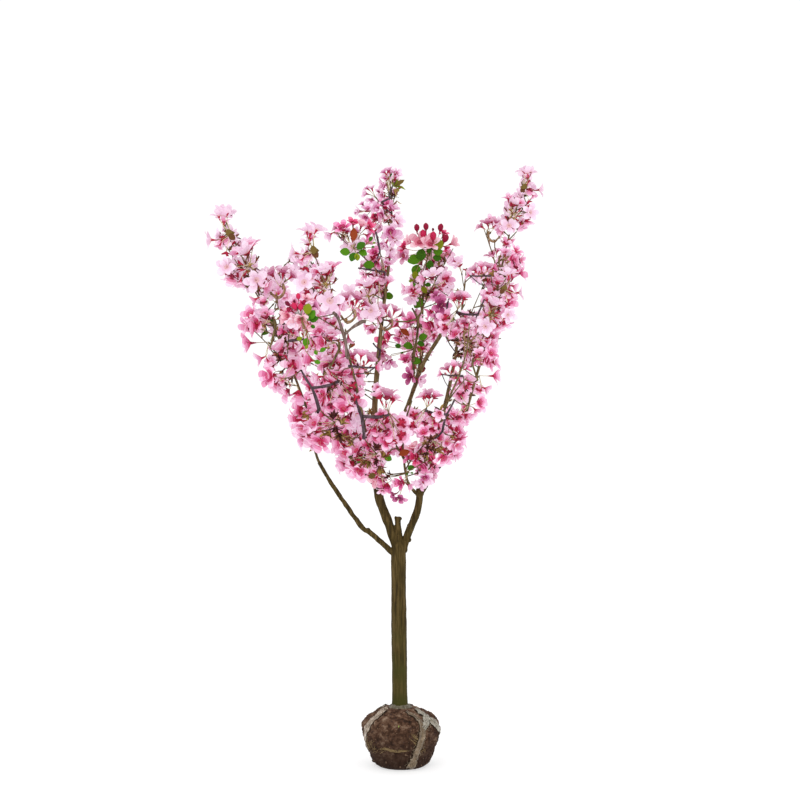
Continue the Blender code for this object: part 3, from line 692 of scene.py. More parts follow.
# %% Crumbs and root hairs
start_material("pale_root_hair", "#8d7856", 0.85, Specular_IOR_Level=0.1)
start_material("straw_root_hair", "#6c5a3c", 0.85, Specular_IOR_Level=0.1)
start_material("dried_clay_crumb", "#69523f", 0.95)
start_material("dark_clay_crumb", "#3a241a", 0.95)
start_material("sprouting_green", "#8fae4a", 0.6)
CRUMB_COUNT = 620
HAIRS = [  # middle azimuth and height, spread, count, lean of the fan in degrees
    (-142, 0.066, 10, 24, 50), (-67, 0.088, 5, 24, 132), (-55, 0.060, 8, 8, 140),
    (-128, 0.050, 12, 8, 30), (100, 0.07, 30, 18, 90), (20, 0.06, 25, 12, 80),
    (-108, 0.0595, 9, 44, 174), (-91, 0.0575, 9, 44, 8), (-99, 0.0570, 14, 20, 1),
]

deselect()
bpy.ops.mesh.primitive_ico_sphere_add(subdivisions=1, radius=1)
crumb_shape = read_shape(bpy.context.object)
rng = random.Random(41)
crumbs = Heap()
for _ in range(CRUMB_COUNT):
    height = rng.uniform(0.006, 0.145)
    place, normal = on_ball(rng.uniform(-180, 180), height)
    turn = normal.to_track_quat("Z", "Y").to_matrix() @ Matrix.Rotation(rng.uniform(0, 6), 3, "Z")
    size = rng.uniform(0.0008, 0.0024) * (1.5 if rng.random() < 0.1 else 1)
    finish = rng.choice(["dried_clay_crumb", "dark_clay_crumb", "dark_clay_crumb"])
    put(crumbs, crumb_shape, turn, place, size, {"all": finish})
for azimuth, height, spread, count, lean in HAIRS:
    for _ in range(count):
        start = azimuth + rng.uniform(-spread, spread)
        level = abs(math.sin(math.radians(lean)))  # hairs that lie level keep to a narrow band
        high = height + rng.uniform(-0.012, 0.012) * (0.12 + 0.88 * level)
        slope = math.radians(lean + rng.uniform(-25, 25) * (0.3 + 0.7 * level))
        long = rng.uniform(0.012, 0.030)
        line = []
        for k in range(6):
            share = k / 5 - 0.5
            turned = math.degrees(math.cos(slope) * long * share / BALL_GIRTH)
            bend = rng.uniform(-0.4, 0.4)
            line.append(on_ball(start + turned + bend, high + math.sin(slope) * long * share,
                                0.0009)[0])
        crumbs.add(*tube(smooth_path(line, 1), [0.00038] * 9 + [0.0002] * 9, 4),
                   rng.choice(("pale_root_hair", "straw_root_hair")))
sprout, _ = on_ball(-92, 0.119, 0.001)
crumbs.add(*tube([sprout, sprout + Vector((0.001, -0.003, 0.004))], [0.0016, 0.0006], 6),
           "sprouting_green")
crumbs.piece("crumbs_and_root_hairs", "earth")

# %% [markdown]
# The ball is tied with strips torn from old sacking: a loose plain weave, bleached pale, frayed at
# the edges and creased along their length. The weave is two sets of waves that cross on the cloth's
# own UV map, which is in metres, so a thread is 1.6 mm wide. Real sacking is a little finer, but finer
# threads wouldn't show.

# %% Sacking material
def sacking(name, dark, middle, light):
    made, tree, shader = start_material(name, middle, 0.92, Sheen_Weight=0.25)
    uv = add_node(tree, "ShaderNodeUVMap", {"uv_map": "UVMap"}).outputs[0]
    along = add_node(tree, "ShaderNodeTexWave", {"Scale": 98, "Distortion": 1.4, "Detail": 1,
                                                 "bands_direction": "X"}, {"Vector": uv})
    across = add_node(tree, "ShaderNodeTexWave", {"Scale": 98, "Distortion": 1.4, "Detail": 1,
                                                  "bands_direction": "Y"}, {"Vector": uv})
    weave = add_node(tree, "ShaderNodeMath", {"operation": "MULTIPLY"},
                     {0: along.outputs["Fac"], 1: across.outputs["Fac"]})
    stain = add_node(tree, "ShaderNodeTexNoise", {"Scale": 60, "Detail": 4}, {"Vector": uv})
    blotch = add_node(tree, "ShaderNodeMath", {"operation": "MULTIPLY_ADD", 1: 0.28},
                      {0: weave.outputs[0], 2: stain.outputs["Fac"]})
    colour = ramp(tree, blotch.outputs[0], [(0.38, dark), (0.58, middle), (0.80, light)])
    tree.links.new(colour, shader.inputs["Base Color"])
    bump = add_node(tree, "ShaderNodeBump", {"Strength": 0.6, "Distance": 0.0008},
                    {"Height": weave.outputs[0]})
    tree.links.new(bump.outputs[0], shader.inputs["Normal"])
    return made


pale_sacking = sacking("bleached_sacking", "#4f3f2e", "#948371", "#cfc5b8")
muddy_sacking = sacking("muddy_sacking", "#3d2f20", "#6b5a44", "#94826c")
grey_sacking = sacking("grey_sacking", "#4a4336", "#908a7b", "#c2bdb1")
green_sacking = sacking("grey_green_sacking", "#36301f", "#5c5441", "#837b68")
start_material("frayed_sacking_thread", "#9a8b74", 0.9, Specular_IOR_Level=0.1)
# a dark thread laid along a strip's edge as painted shadow
start_material("dark_sacking_fold", "#2c2219", 0.95, Specular_IOR_Level=0.1)
FINISHES = {"cloth_strip_front": muddy_sacking, "cloth_strip_right": grey_sacking,
            "cloth_strip_link": grey_sacking, "cloth_strip_back_left": grey_sacking}

# %% [markdown]
# Each strip starts as a flat grid. Its rows are laid along the route of the tie and its columns across
# it, and every point is dropped on the ball's skin with a little air under it. Creases run along the
# strip, its edges wander, and torn holes open near them. Solidify then gives it a millimetre of
# thickness, and loose threads hang from the torn edges.

# %% Cloth strips
STRIPS = {  # stations (azimuth, height), widths, how much higher its start stands
    "cloth_strip_left": ([(-140, 0.149), (-142, 0.138), (-146, 0.112), (-158, 0.075),
                          (-166, 0.045)], (0.013, 0.021, 0.006), 0.007),
    "cloth_strip_front": ([(-70, 0.148), (-57, 0.139), (-53, 0.122), (-56, 0.097), (-60, 0.068),
                           (-64, 0.034), (-70, 0.006)], (0.009, 0.018, 0.018), 0.0),
    "cloth_strip_right": ([(-30, 0.149), (-30, 0.140), (-26, 0.126), (-15, 0.104), (2, 0.080),
                           (12, 0.052)], (0.012, 0.026, 0.008), 0.0015),
    "cloth_strip_link": ([(-22, 0.137), (-33, 0.131), (-45, 0.121), (-53, 0.110)],
                         (0.016, 0.020, 0.012), 0.0),
    "cloth_strip_back_right": ([(62, 0.149), (58, 0.130), (66, 0.095), (72, 0.055), (70, 0.010)],
                               (0.009, 0.015, 0.015), 0.0),
    "cloth_strip_back_left": ([(140, 0.149), (135, 0.130), (126, 0.096), (130, 0.050)],
                              (0.012, 0.018, 0.007), 0.0),
}
STRIP_COLUMNS = 12
STRIP_ROW = 0.0022
STRIP_LIFT = 0.0012
CREASE = 0.0011
CLOTH_THICK = 0.0008
SHADOW_LINE_EDGES = {"cloth_strip_left": 1, "cloth_strip_front": -1, "cloth_strip_link": 1,
         "cloth_strip_right": -1}  # which edge gets a painted shadow line
SHADOW_LINE_GIRTH = 0.0013

threads = Heap()
for order, (name, (stations, widths, raised)) in enumerate(STRIPS.items()):
    rng = random.Random(60 + order)
    line = resample(smooth_path([Vector((a, h * 1000, 0)) for a, h in stations]), 2.0)
    route = [on_ball(p.x, p.y / 1000)[0] for p in line]
    rows = max(8, round(sum((b - a).length for a, b in zip(route, route[1:])) / STRIP_ROW))
    route = resample(route, sum((b - a).length for a, b in zip(route, route[1:])) / rows)
    deselect()
    bpy.ops.mesh.primitive_grid_add(x_subdivisions=STRIP_COLUMNS, y_subdivisions=len(route) - 1)
    strip = bpy.context.object
    uv = strip.data.uv_layers[0].data
    grid = {}
    for vert in strip.data.vertices:
        column = round((vert.co.x + 1) / 2 * STRIP_COLUMNS)
        row = round((vert.co.y + 1) / 2 * (len(route) - 1))
        grid[vert.index] = (column, row)
    torn = set()
    for vert in strip.data.vertices:
        column, row = grid[vert.index]
        share = row / (len(route) - 1)
        u = column / STRIP_COLUMNS * 2 - 1
        along = (route[min(row + 1, len(route) - 1)] - route[max(row - 1, 0)]).normalized()
        out = (route[row] - BALL_HEART).normalized()
        across = out.cross(along).normalized()
        edge = 1 + 0.28 * noise.noise(Vector((row * 0.35, 5 * order, math.copysign(9, u))))
        side = route[row] + across * blend(widths, share) / 2 * u * edge * 1.08
        place, normal, _, _ = ball_skin.ray_cast(BALL_HEART, (side - BALL_HEART).normalized())
        crease = CREASE * math.sin(u * 5.2 + 2.2 * noise.noise(Vector((row * 0.08, order, 0))))
        crease += 0.5 * CREASE * noise.noise(Vector((column * 0.5, row * 0.3, order)))
        stand = raised * max(0.0, 1 - share / 0.22) ** 1.5
        vert.co = place + normal * (STRIP_LIFT + CREASE + crease + stand)
        if noise.noise(Vector((column * 0.42, row * 0.33, 3 * order + 1))) > 0.42:
            torn.add(vert.index)
    for loop in strip.data.loops:
        column, row = grid[loop.vertex_index]
        uv[loop.index].uv = (column / STRIP_COLUMNS * 0.017, row * STRIP_ROW)
    edit(strip)
    shell = bmesh.from_edit_mesh(strip.data)
    shell.faces.ensure_lookup_table()
    holes = [f for f in shell.faces if all(v.index in torn for v in f.verts)]
    bmesh.ops.delete(shell, geom=holes, context="FACES")
    bmesh.update_edit_mesh(strip.data)
    bpy.ops.object.mode_set(mode="OBJECT")
    thick = strip.modifiers.new("thick", "SOLIDIFY")
    thick.thickness = CLOTH_THICK
    thick.offset = 0
    soft = strip.modifiers.new("soft", "SUBSURF")
    soft.levels = soft.render_levels = 1
    apply_all(strip)
    strip.data.materials.append(FINISHES.get(name, pale_sacking))
    strip.data.shade_smooth()
    close_piece(strip, "sacking_" + name[6:], "cloth", name)
    for _ in range(14):
        row = rng.randrange(1, len(route) - 1)
        along = (route[row + 1] - route[row]).normalized()
        out = (route[row] - BALL_HEART).normalized()
        across = out.cross(along).normalized() * rng.choice((-1, 1))
        half = blend(widths, row / (len(route) - 1)) / 2
        line = []
        for k in range(5):
            aim = route[row] + across * (half * 0.85 + k * rng.uniform(0.0010, 0.0026))
            aim += along * k * rng.uniform(-0.001, 0.003)
            place, normal, _, _ = ball_skin.ray_cast(BALL_HEART, (aim - BALL_HEART).normalized())
            line.append(place + normal * (0.0010 + 0.0004 * k))
        threads.add(*tube(line, [0.00030] * 5, 4), "frayed_sacking_thread")
    if name in SHADOW_LINE_EDGES:  # a dark tube along one edge: painted shadow where the strip's edge lifts
        line = []
        for row in range(1, len(route) - 1, 2):
            along = (route[row + 1] - route[row - 1]).normalized()
            across = (route[row] - BALL_HEART).normalized().cross(along).normalized()
            half = blend(widths, row / (len(route) - 1)) / 2 * 1.12
            aim = route[row] + across * (half * SHADOW_LINE_EDGES[name] + 0.0012 * noise.noise(route[row] * 90))
            place, normal, _, _ = ball_skin.ray_cast(BALL_HEART, (aim - BALL_HEART).normalized())
            line.append(place + normal * 0.0012)
        radii = [SHADOW_LINE_GIRTH * (1 - 0.6 * k / (len(line) - 1)) for k in range(len(line))]
        threads.add(*tube(line, radii, 6), "dark_sacking_fold")
threads.piece("loose_sacking_threads", "cloth")

# %% [markdown]
# Round the foot of the trunk the sacking is bunched into a low collar, stained grey green. It is a
# ring of cloth: a grid bent round the trunk, high at the bark, low on the soil, and ruffled.

# %% Sacking collar
COLLAR_COLUMNS = 72
COLLAR_ROWS = 7
COLLAR_HIGH = 0.0052
COLLAR_WIDE = 0.0100

deselect()
bpy.ops.mesh.primitive_grid_add(x_subdivisions=COLLAR_COLUMNS, y_subdivisions=COLLAR_ROWS)
collar = bpy.context.object
for vert in collar.data.vertices:
    angle = (vert.co.x + 1) * math.pi
    share = (vert.co.y + 1) / 2
    around = Vector((math.cos(angle), math.sin(angle), 0))
    ruffle = noise.noise(around * 3.5 + Vector((0, 0, share * 1.5)))
    pleat = math.sin(angle * 17 + 4 * noise.noise(around * 2)) * 0.0007
    radius = TRUNK_GIRTH[0][1] - 0.0010 + COLLAR_WIDE * share * (1 + 0.22 * ruffle) + pleat
    rise = COLLAR_HIGH * (1 - share) ** 0.8 * (1 + 0.5 * ruffle) + 0.0022
    vert.co = around * radius + Vector((0, 0, BALL_HEIGHT - 0.0030 * share + rise))
edit(collar)
bpy.ops.mesh.select_all(action="SELECT")
bpy.ops.mesh.remove_doubles(threshold=0.0001)
bpy.ops.mesh.normals_make_consistent(inside=False)
bpy.ops.object.mode_set(mode="OBJECT")
for loop in collar.data.loops:
    p = collar.data.vertices[loop.vertex_index].co
    collar.data.uv_layers[0].data[loop.index].uv = (math.atan2(p.y, p.x) * 0.026,
                                                    math.hypot(p.x, p.y) + p.z)
thick = collar.modifiers.new("thick", "SOLIDIFY")
thick.thickness = CLOTH_THICK
soft = collar.modifiers.new("soft", "SUBSURF")
soft.levels = soft.render_levels = 1
apply_all(collar)
collar.data.materials.append(green_sacking)
collar.data.shade_smooth()
close_piece(collar, "sacking_collar", "cloth", "cloth_collar")


# %% [markdown]
# A petal is a thin blade, narrow at its claw, widest past the middle, softly pointed, and cupped. It
# starts as a small grid. Its rows are first drawn far apart, so that each can be picked by itself,
# scaled to the petal's width there, and set at its place and lift. The middle of the lower rows is
# pushed up, so that the red heart and the flush end in points, as colour runs up a real petal's vein.

# %% Petals
PETAL_ROWS = [  # place along the petal, half width, lift, push of the middle, as shares of its length
    (0.00, 0.07, 0.00, 0.00), (0.18, 0.16, 0.03, 0.05), (0.36, 0.26, 0.09, 0.12),
    (0.62, 0.325, 0.15, 0.05), (0.86, 0.24, 0.18, 0.02), (1.00, 0.05, 0.13, 0.00),
]
SLIM_PETAL_ROWS = [
    (0.00, 0.07, 0.00, 0.00), (0.19, 0.15, 0.02, 0.10), (0.40, 0.24, 0.04, 0.14),
    (0.67, 0.31, 0.02, 0.03), (0.88, 0.23, -0.06, 0.02), (1.00, 0.05, -0.14, 0.00),
]
PETAL_CUP = 0.20  # how much higher its edges are than its middle, as a share of the half width
APART = 20.0  # the rows wait this far off until each is shaped


def blade_shape(rows, cup, bands=None):
    """A leaf or petal from a grid two faces wide, shaped row by row. Bands name its parts."""
    deselect()
    bpy.ops.mesh.primitive_grid_add(x_subdivisions=2, y_subdivisions=len(rows) - 1, size=2)
    blade = bpy.context.object
    edit(blade)
    bpy.ops.mesh.select_all(action="SELECT")
    bpy.ops.transform.translate(value=(0, 3, 0))
    bpy.ops.transform.resize(value=(1, APART / 2, 1), center_override=(0, 0, 0))
    levels = [APART * (1 + k / (len(rows) - 1)) for k in range(len(rows))]
    shell = bmesh.from_edit_mesh(blade.data)
    shell.faces.ensure_lookup_table()
    band_of = [next(k for k, level in enumerate(levels[1:]) if face.calc_center_median().y < level)
               for face in shell.faces]
    for level, (share, half, lift, push) in zip(levels, rows):
        pick(blade, lambda p: abs(p.y - level) < 0.01)
        bpy.ops.transform.resize(value=(half, 1, 1), center_override=(0, 0, 0))
        bpy.ops.transform.translate(value=(0, share - level, lift))
        pick(blade, lambda p: abs(p.y - share) < 0.001 and abs(p.x) > half / 2)
        bpy.ops.transform.translate(value=(0, 0, cup * half))
        pick(blade, lambda p: abs(p.y - share) < 0.001 and abs(p.x) < half / 2)
        bpy.ops.transform.translate(value=(0, push, 0))
    bpy.ops.object.mode_set(mode="OBJECT")
    points, faces, parts = read_shape(blade)
    return points, faces, [bands[k] for k in band_of] if bands else parts


PETAL_BANDS = ("heart", "flush", "inner", "outer", "outer")
petal_shape = blade_shape(PETAL_ROWS, PETAL_CUP, PETAL_BANDS)
slim_petal_shape = blade_shape(SLIM_PETAL_ROWS, PETAL_CUP, PETAL_BANDS)
print("petal:", len(petal_shape[1]), "faces")

# %% [markdown]
# Leaves are made the same way. The full leaf is a rounded oval, folded a little along its midrib. The
# scale is a narrow young leaf, as they stand in bronze tufts where flowers spring from a spur.

# %% Leaf and scale
LEAF_ROWS = [(0.00, 0.03, 0.00, 0), (0.12, 0.23, 0.02, 0), (0.38, 0.39, 0.05, 0),
             (0.68, 0.37, 0.04, 0), (0.91, 0.18, -0.01, 0), (1.00, 0.02, -0.05, 0)]
NARROW_LEAF_ROWS = [(0.00, 0.03, 0.00, 0), (0.15, 0.18, 0.02, 0), (0.42, 0.30, 0.04, 0),
                    (0.70, 0.24, 0.02, 0), (0.90, 0.09, -0.02, 0), (1.00, 0.01, -0.06, 0)]
SCALE_ROWS = [(0.00, 0.06, 0.00, 0), (0.35, 0.17, 0.05, 0), (0.70, 0.14, 0.05, 0),
              (1.00, 0.01, -0.04, 0)]
leaf_shape = blade_shape(LEAF_ROWS, 0.22)
narrow_leaf_shape = blade_shape(NARROW_LEAF_ROWS, 0.22)
scale_shape = blade_shape(SCALE_ROWS, 0.45)
print("leaf:", len(leaf_shape[1]), "faces, scale:", len(scale_shape[1]), "faces")

# %% [markdown]
# Under each flower sits the calyx: a small cup with five crimson points. It is a ten-sided cone with
# a star on top, every second corner drawn out to a point. A bud is a sphere drawn out to an egg.
# A stamen is a hair with a yellow head.

# %% Calyx, bud and stamen
CALYX_CUP = 0.0026
CALYX_DEEP = 0.0070
CALYX_POINT = 4.4

deselect()
bpy.ops.mesh.primitive_cone_add(vertices=10, radius1=0.0008, radius2=CALYX_CUP, depth=CALYX_DEEP,
                                end_fill_type="NOTHING", location=(0, 0, -CALYX_DEEP / 2))
cup = bpy.context.object
bpy.ops.object.transform_apply(location=True)
edit(cup)
pick(cup, lambda p: abs(p.z) < 1e-5)
bpy.ops.mesh.edge_face_add()
bpy.ops.mesh.inset(thickness=0.0003)
pick(cup, lambda p: abs(p.z) < 1e-5 and math.hypot(p.x, p.y) > CALYX_CUP * 0.94
     and round(math.degrees(math.atan2(p.y, p.x)) / 36) % 2 == 0)
bpy.ops.transform.resize(value=(CALYX_POINT, CALYX_POINT, 1), center_override=(0, 0, 0))
bpy.ops.transform.translate(value=(0, 0, 0.0012))
bpy.ops.object.mode_set(mode="OBJECT")
calyx_shape = read_shape(cup)
points = calyx_shape[0].copy()
reach = np.hypot(points[:, 0], points[:, 1])
lobes = reach > CALYX_CUP * 1.2
points[lobes, :2] *= 0.42
points[lobes, 2] += CALYX_CUP * 2.8
points[points[:, 2] < -0.001, 2] *= 1.6
closed_calyx_shape = (points, calyx_shape[1], calyx_shape[2])

bpy.ops.mesh.primitive_uv_sphere_add(segments=7, ring_count=6, radius=0.5)
egg = bpy.context.object
edit(egg)
bpy.ops.mesh.select_all(action="SELECT")
bpy.ops.transform.resize(value=(1, 1, 1.35))
bpy.ops.transform.translate(value=(0, 0, 0.62))
pick(egg, lambda p: p.z > 1.0)
bpy.ops.transform.resize(value=(0.75, 0.75, 1.1))
bpy.ops.object.mode_set(mode="OBJECT")
bud_shape = read_shape(egg)

bpy.ops.mesh.primitive_cone_add(vertices=3, radius1=0.00018, radius2=0.00012, depth=0.0072,
                                end_fill_type="NOTHING", location=(0, 0, 0.0036))
bpy.ops.object.transform_apply(location=True)
hair = read_shape(bpy.context.object, lambda p: "hair")
bpy.ops.mesh.primitive_cone_add(vertices=3, radius1=0.00075, depth=0.0014, location=(0, 0, 0.0076))
bpy.ops.object.transform_apply(location=True)
head = read_shape(bpy.context.object, lambda p: "head")
stamen_shape = (np.vstack([hair[0], head[0]]),
                hair[1] + [tuple(i + len(hair[0]) for i in f) for f in head[1]],
                hair[2] + head[2])
print("calyx:", len(calyx_shape[1]), "bud:", len(bud_shape[1]), "stamen:", len(stamen_shape[1]))

# %% [markdown]
# Petals are thin and a little waxy and shine only faintly. Every petal also glows with its own colour,
# a painted glow that stands for light passing through the thin petal and lifts the petals in shade.
# Their colour depends on where they grow: the tips of the crown are pale, its foot is strong pink, the
# leader's top bears small lilac flowers, and a few sprigs open from crimson buds among green leaves.
# Each tint is one plain colour, so that an exported model keeps it, and neighbours vary by the tint
# they draw. Each tint's blade comes in light, middle and dark copies, painted shade dealt out at random.

# %% Petal, leaf and twig finishes
TINTS = {  # three pairs of the blade's inner and outer part, in light, middle and dark copies that are painted shade, then flush and heart
    "pale": ("#e4c9da", "#e9d3e2", "#e0c0d4", "#e4cadb", "#dab3cb", "#e1c2d5", "#dcb8ce", "#d6acb2"),
    "rose": ("#e2b0ca", "#ebcfe0", "#dca1c0", "#e5bfd5", "#d48eb0", "#dca5c3", "#d0809f", "#c43e66"),
    "deep": ("#e09abb", "#eac1d7", "#da8aad", "#e4afca", "#c96a93", "#da93b4", "#c25079", "#b42850"),
    "dusky": ("#cb98ae", "#d6abbf", "#c0889f", "#cc9db2", "#b0748e", "#bf879d", "#a8587a", "#8c2c44"),
    "lilac": ("#dfbad0", "#e8cfde", "#d8aec6", "#e2c3d5", "#cc9ab6", "#d8acc6", "#c0709a", "#922a58"),
    "purple": ("#c0709a", "#d294b4", "#b05582", "#c0749c", "#98406a", "#ad5a86", "#862f58", "#681c42"),
    "salmon": ("#dfa8b6", "#e7c2cc", "#d99bab", "#e1b3bf", "#cc899b", "#d8a3b0", "#cc7288", "#ac3c58"),
    "scarlet": ("#d04a74", "#de7c9c", "#c43560", "#d46088", "#ad2048", "#c44470", "#a01840", "#780e2c"),
    "cherry": ("#d673a0", "#e39bbd", "#cc5e8e", "#da86ac", "#bb4a7b", "#cc6c98", "#aa2e5e", "#881a42"),
}
petal_glow_sockets = {"Specular_IOR_Level": 0.12, "Emission_Strength": 0.50}  # a painted glow: it stands for light passing through the petal and lifts petals in shade
PETAL_FACE = 0.67  # the share of its colour that the base keeps, since the painted glow adds light of its own
# light, middle and dark are painted shade: lit and shaded copies of one petal colour
PETAL_PARTS = ("light_inner", "light_outer", "middle_inner", "middle_outer", "dark_inner",
               "dark_outer", "flush", "heart")
# Every petal finish glows in its own colour: painted light that keeps shaded petals bright.
for tint, codes in TINTS.items():
    for part, code in zip(PETAL_PARTS, codes):
        _, _, shader = start_material(f"petal_{tint}_{part}", code, 0.6,
                                      Emission_Color=linear(code), **petal_glow_sockets)
        face = [v * PETAL_FACE for v in linear(code)[:3]] + [1]
        shader.inputs["Base Color"].default_value = face
start_material("calyx_crimson", "#ab2440", 0.65, Specular_IOR_Level=0.1)
start_material("calyx_dark", "#8e2c42", 0.65, Specular_IOR_Level=0.1)
start_material("calyx_brown", "#6b3524", 0.65, Specular_IOR_Level=0.1)
start_material("bud_crimson", "#8f0c34", 0.45, Specular_IOR_Level=0.15)
start_material("bud_maroon", "#6a0a2c", 0.45, Specular_IOR_Level=0.15)
start_material("bud_rose", "#c02450", 0.45, Specular_IOR_Level=0.15)
start_material("bud_brown", "#7c4a30", 0.45, Specular_IOR_Level=0.15)
start_material("pedicel_cream", "#d0c49a", 0.55)
start_material("pedicel_olive", "#8c7444", 0.55)
start_material("pedicel_grey", "#857b70", 0.6)
start_material("stamen_filament", "#e6b4b8", 0.6)
start_material("stamen_anther", "#d8b880", 0.7)
start_material("leaf_bright_green", "#4a7e0c", 0.55, Specular_IOR_Level=0.12)
start_material("leaf_yellow_green", "#788512", 0.55, Specular_IOR_Level=0.12)
start_material("leaf_dark_green", "#346507", 0.55, Specular_IOR_Level=0.12)
start_material("leaf_bronze", "#8c3a18", 0.55, Specular_IOR_Level=0.12)
start_material("leaf_olive", "#6a5628", 0.55, Specular_IOR_Level=0.12)
start_material("leaf_umber", "#5e3a20", 0.55, Specular_IOR_Level=0.12)
start_material("young_leaf_olive", "#94783f", 0.65, Specular_IOR_Level=0.1)
start_material("young_leaf_gold", "#b4965a", 0.65, Specular_IOR_Level=0.1)
start_material("young_leaf_brown", "#7e4a36", 0.65, Specular_IOR_Level=0.1)
start_material("young_leaf_dark", "#4c2424", 0.65, Specular_IOR_Level=0.1)
print("petal finishes:", len(TINTS) * len(PETAL_PARTS))

# %% [markdown]
# Every mass grows from one stem by a rule. Twigs leave the stem at equal steps, each turned by the
# golden angle from the last, square to it near its foot and more upright near its tip. Each twig
# bears spurs, each spur a spray: three to six flowers on long pedicels that spring from one point. The
# spray's place decides its kind. The rule is that of the solids, carried on to the single flower.

# %% The rule of growth
TWIG_STEP = 0.0105
TWIG_LEAN = (1.70, 1.05, 0.65)
TWIG_SWAY = 0.35
TWIG_TURN = 0.9
GOLDEN_ANGLE = math.radians(137.5)
SPRAY_DEEP = 0.036  # a spray's flowers reach this far past their spur
SPUR_LONG = 0.007
SPUR_SHARES = (0.55, 1.0)
PETAL_LONG = 0.0245
PEDICEL = (0.018, 0.030)
TRIES = 6
STAMENS = 4
PETALS = (5, 5, 6, 7, 8)  # this crabapple's flowers are often half double
SIDEWAYS = 0.7  # how much of a flower's look away from the trunk is turned aside

KINDS = {  # from this height up, the kinds of spray to draw from
    "blossom_far_left": [(0.0, "deep rose rose"), (1.05, "rose rose pale"), (1.22, "pale")],
    "blossom_front_left": [(0.0, "deep deep rose"), (1.02, "rose rose pale"), (1.20, "pale")],
    "blossom_back_left": [(0.0, "deep rose"), (1.05, "rose pale"), (1.25, "pale")],
    "blossom_centre": [(0.0, "deep deep rose"), (0.98, "rose pale"), (1.12, "pale rose"),
                       (1.36, "lilac")],
    "blossom_back": [(0.0, "deep rose"), (1.05, "rose rose lilac"), (1.25, "pale rose salmon")],
    "blossom_right": [(0.0, "deep rose"), (1.05, "rose rose pale"), (1.28, "pale rose"),
                      (1.42, "pale")],
    "blossom_front_right": [(0.0, "deep rose"), (1.00, "rose rose lilac")],
    "blossom_back_right": [(0.0, "deep rose"), (1.05, "rose pale")],
    "blossom_low_left": [(0.0, "deep deep rose")],
    "blossom_low_right": [(0.0, "deep rose")],
}
PIXEL = 0.00264  # what one pixel of the photograph spans at the trunk, in metres
OUTLINE = [  # the crown's outline as the photograph shows it, drawn in its pixels
    (212, 216), (216, 206), (226, 203), (236, 205), (236, 215), (231, 223), (237, 231), (238, 239),
    (246, 234), (257, 234), (259, 246), (259, 266), (268, 270), (272, 266), (290, 263), (297, 274),
    (291, 262), (285, 251), (297, 241), (298, 229), (306, 219), (324, 221), (322, 231), (317, 240),
    (321, 251), (338, 251), (339, 266), (337, 282), (345, 290), (358, 282), (364, 272), (357, 266),
    (344, 256), (342, 248), (336, 240), (325, 234), (331, 227), (344, 221), (358, 218), (358, 206),
    (366, 200), (366, 187), (380, 184), (383, 172), (388, 165), (400, 168), (400, 190), (398, 215),
    (401, 226), (398, 245), (392, 262), (391, 290), (386, 305), (391, 318), (404, 318), (416, 306),
    (408, 300), (402, 290), (409, 278), (408, 264), (401, 258), (405, 246), (414, 241), (422, 243),
    (436, 244), (449, 246), (457, 256), (467, 262), (476, 268), (491, 266), (488, 253), (497, 247),
    (504, 240), (500, 233), (488, 240), (484, 231), (477, 229), (483, 215), (503, 216), (504, 190),
    (520, 190), (519, 180), (517, 166), (526, 163), (534, 166), (537, 178), (545, 190), (534, 202),
    (536, 218), (526, 230), (514, 240), (516, 249), (524, 262), (523, 292), (516, 302), (510, 328),
    (500, 334), (497, 362), (499, 377), (486, 390), (486, 410), (470, 421), (466, 446), (452, 464),
    (441, 460), (434, 480), (422, 487), (404, 490), (402, 502), (393, 502), (382, 492), (372, 481),
    (354, 482), (342, 470), (333, 444), (326, 446), (317, 456), (303, 447), (289, 422), (290, 404),
    (281, 391), (270, 396), (261, 378), (266, 368), (252, 361), (264, 352), (250, 355), (242, 343),
    (248, 334), (242, 322), (247, 311), (258, 308), (252, 295), (240, 292), (224, 282), (219, 268),
    (226, 256), (217, 250), (203, 242), (208, 231), (219, 228),
]
SKY = [  # round patches of sky between the sprays: x, y and radius in the photograph's pixels
    (263, 337, 6), (277, 343, 4), (265, 260, 5), (272, 305, 5), (292, 287, 5), (289, 300, 3),
    (296, 352, 3), (312, 371, 5), (283, 370, 5), (294, 384, 5), (305, 386, 4), (305, 403, 4),
    (278, 322, 4), (262, 352, 3), (343, 310, 4), (362, 336, 13), (372, 328, 6), (352, 322, 5),
    (340, 340, 3), (353, 347, 5), (367, 355, 5), (350, 270, 10), (398, 275, 6), (400, 290, 7),
    (398, 306, 8), (391, 312, 3), (404, 270, 3), (427, 305, 4), (427, 317, 5), (424, 325, 4),
    (446, 354, 11), (437, 372, 9), (430, 385, 8), (442, 341, 5), (478, 297, 8), (460, 282, 7),
    (471, 287, 4), (455, 308, 5), (472, 305, 5), (470, 266, 4), (445, 268, 3), (481, 288, 4),
    (398, 374, 10), (386, 377, 7), (400, 390, 9), (397, 407, 8), (368, 378, 5), (366, 403, 8),
    (380, 407, 3), (368, 392, 5), (419, 402, 8), (441, 400, 6), (446, 384, 6), (420, 384, 6),
    (427, 368, 5), (468, 370, 5), (484, 377, 6), (473, 400, 4), (477, 250, 10), (488, 252, 3),
    (502, 248, 3), (456, 404, 4), (413, 440, 6), (400, 464, 9), (394, 474, 6), (412, 479, 6),
    (391, 465, 4), (390, 493, 4), (437, 459, 4), (328, 447, 4), (500, 331, 3), (396, 243, 2),
    (405, 240, 5), (318, 256, 4), (428, 226, 9), (441, 232, 7), (417, 230, 7),
]


def plan_pixel(x, z):
    """The photograph's pixel for a place in the plane of the trunk."""
    return 400 + x / PIXEL, 400 - (z - CAMERA_HIGH) / PIXEL


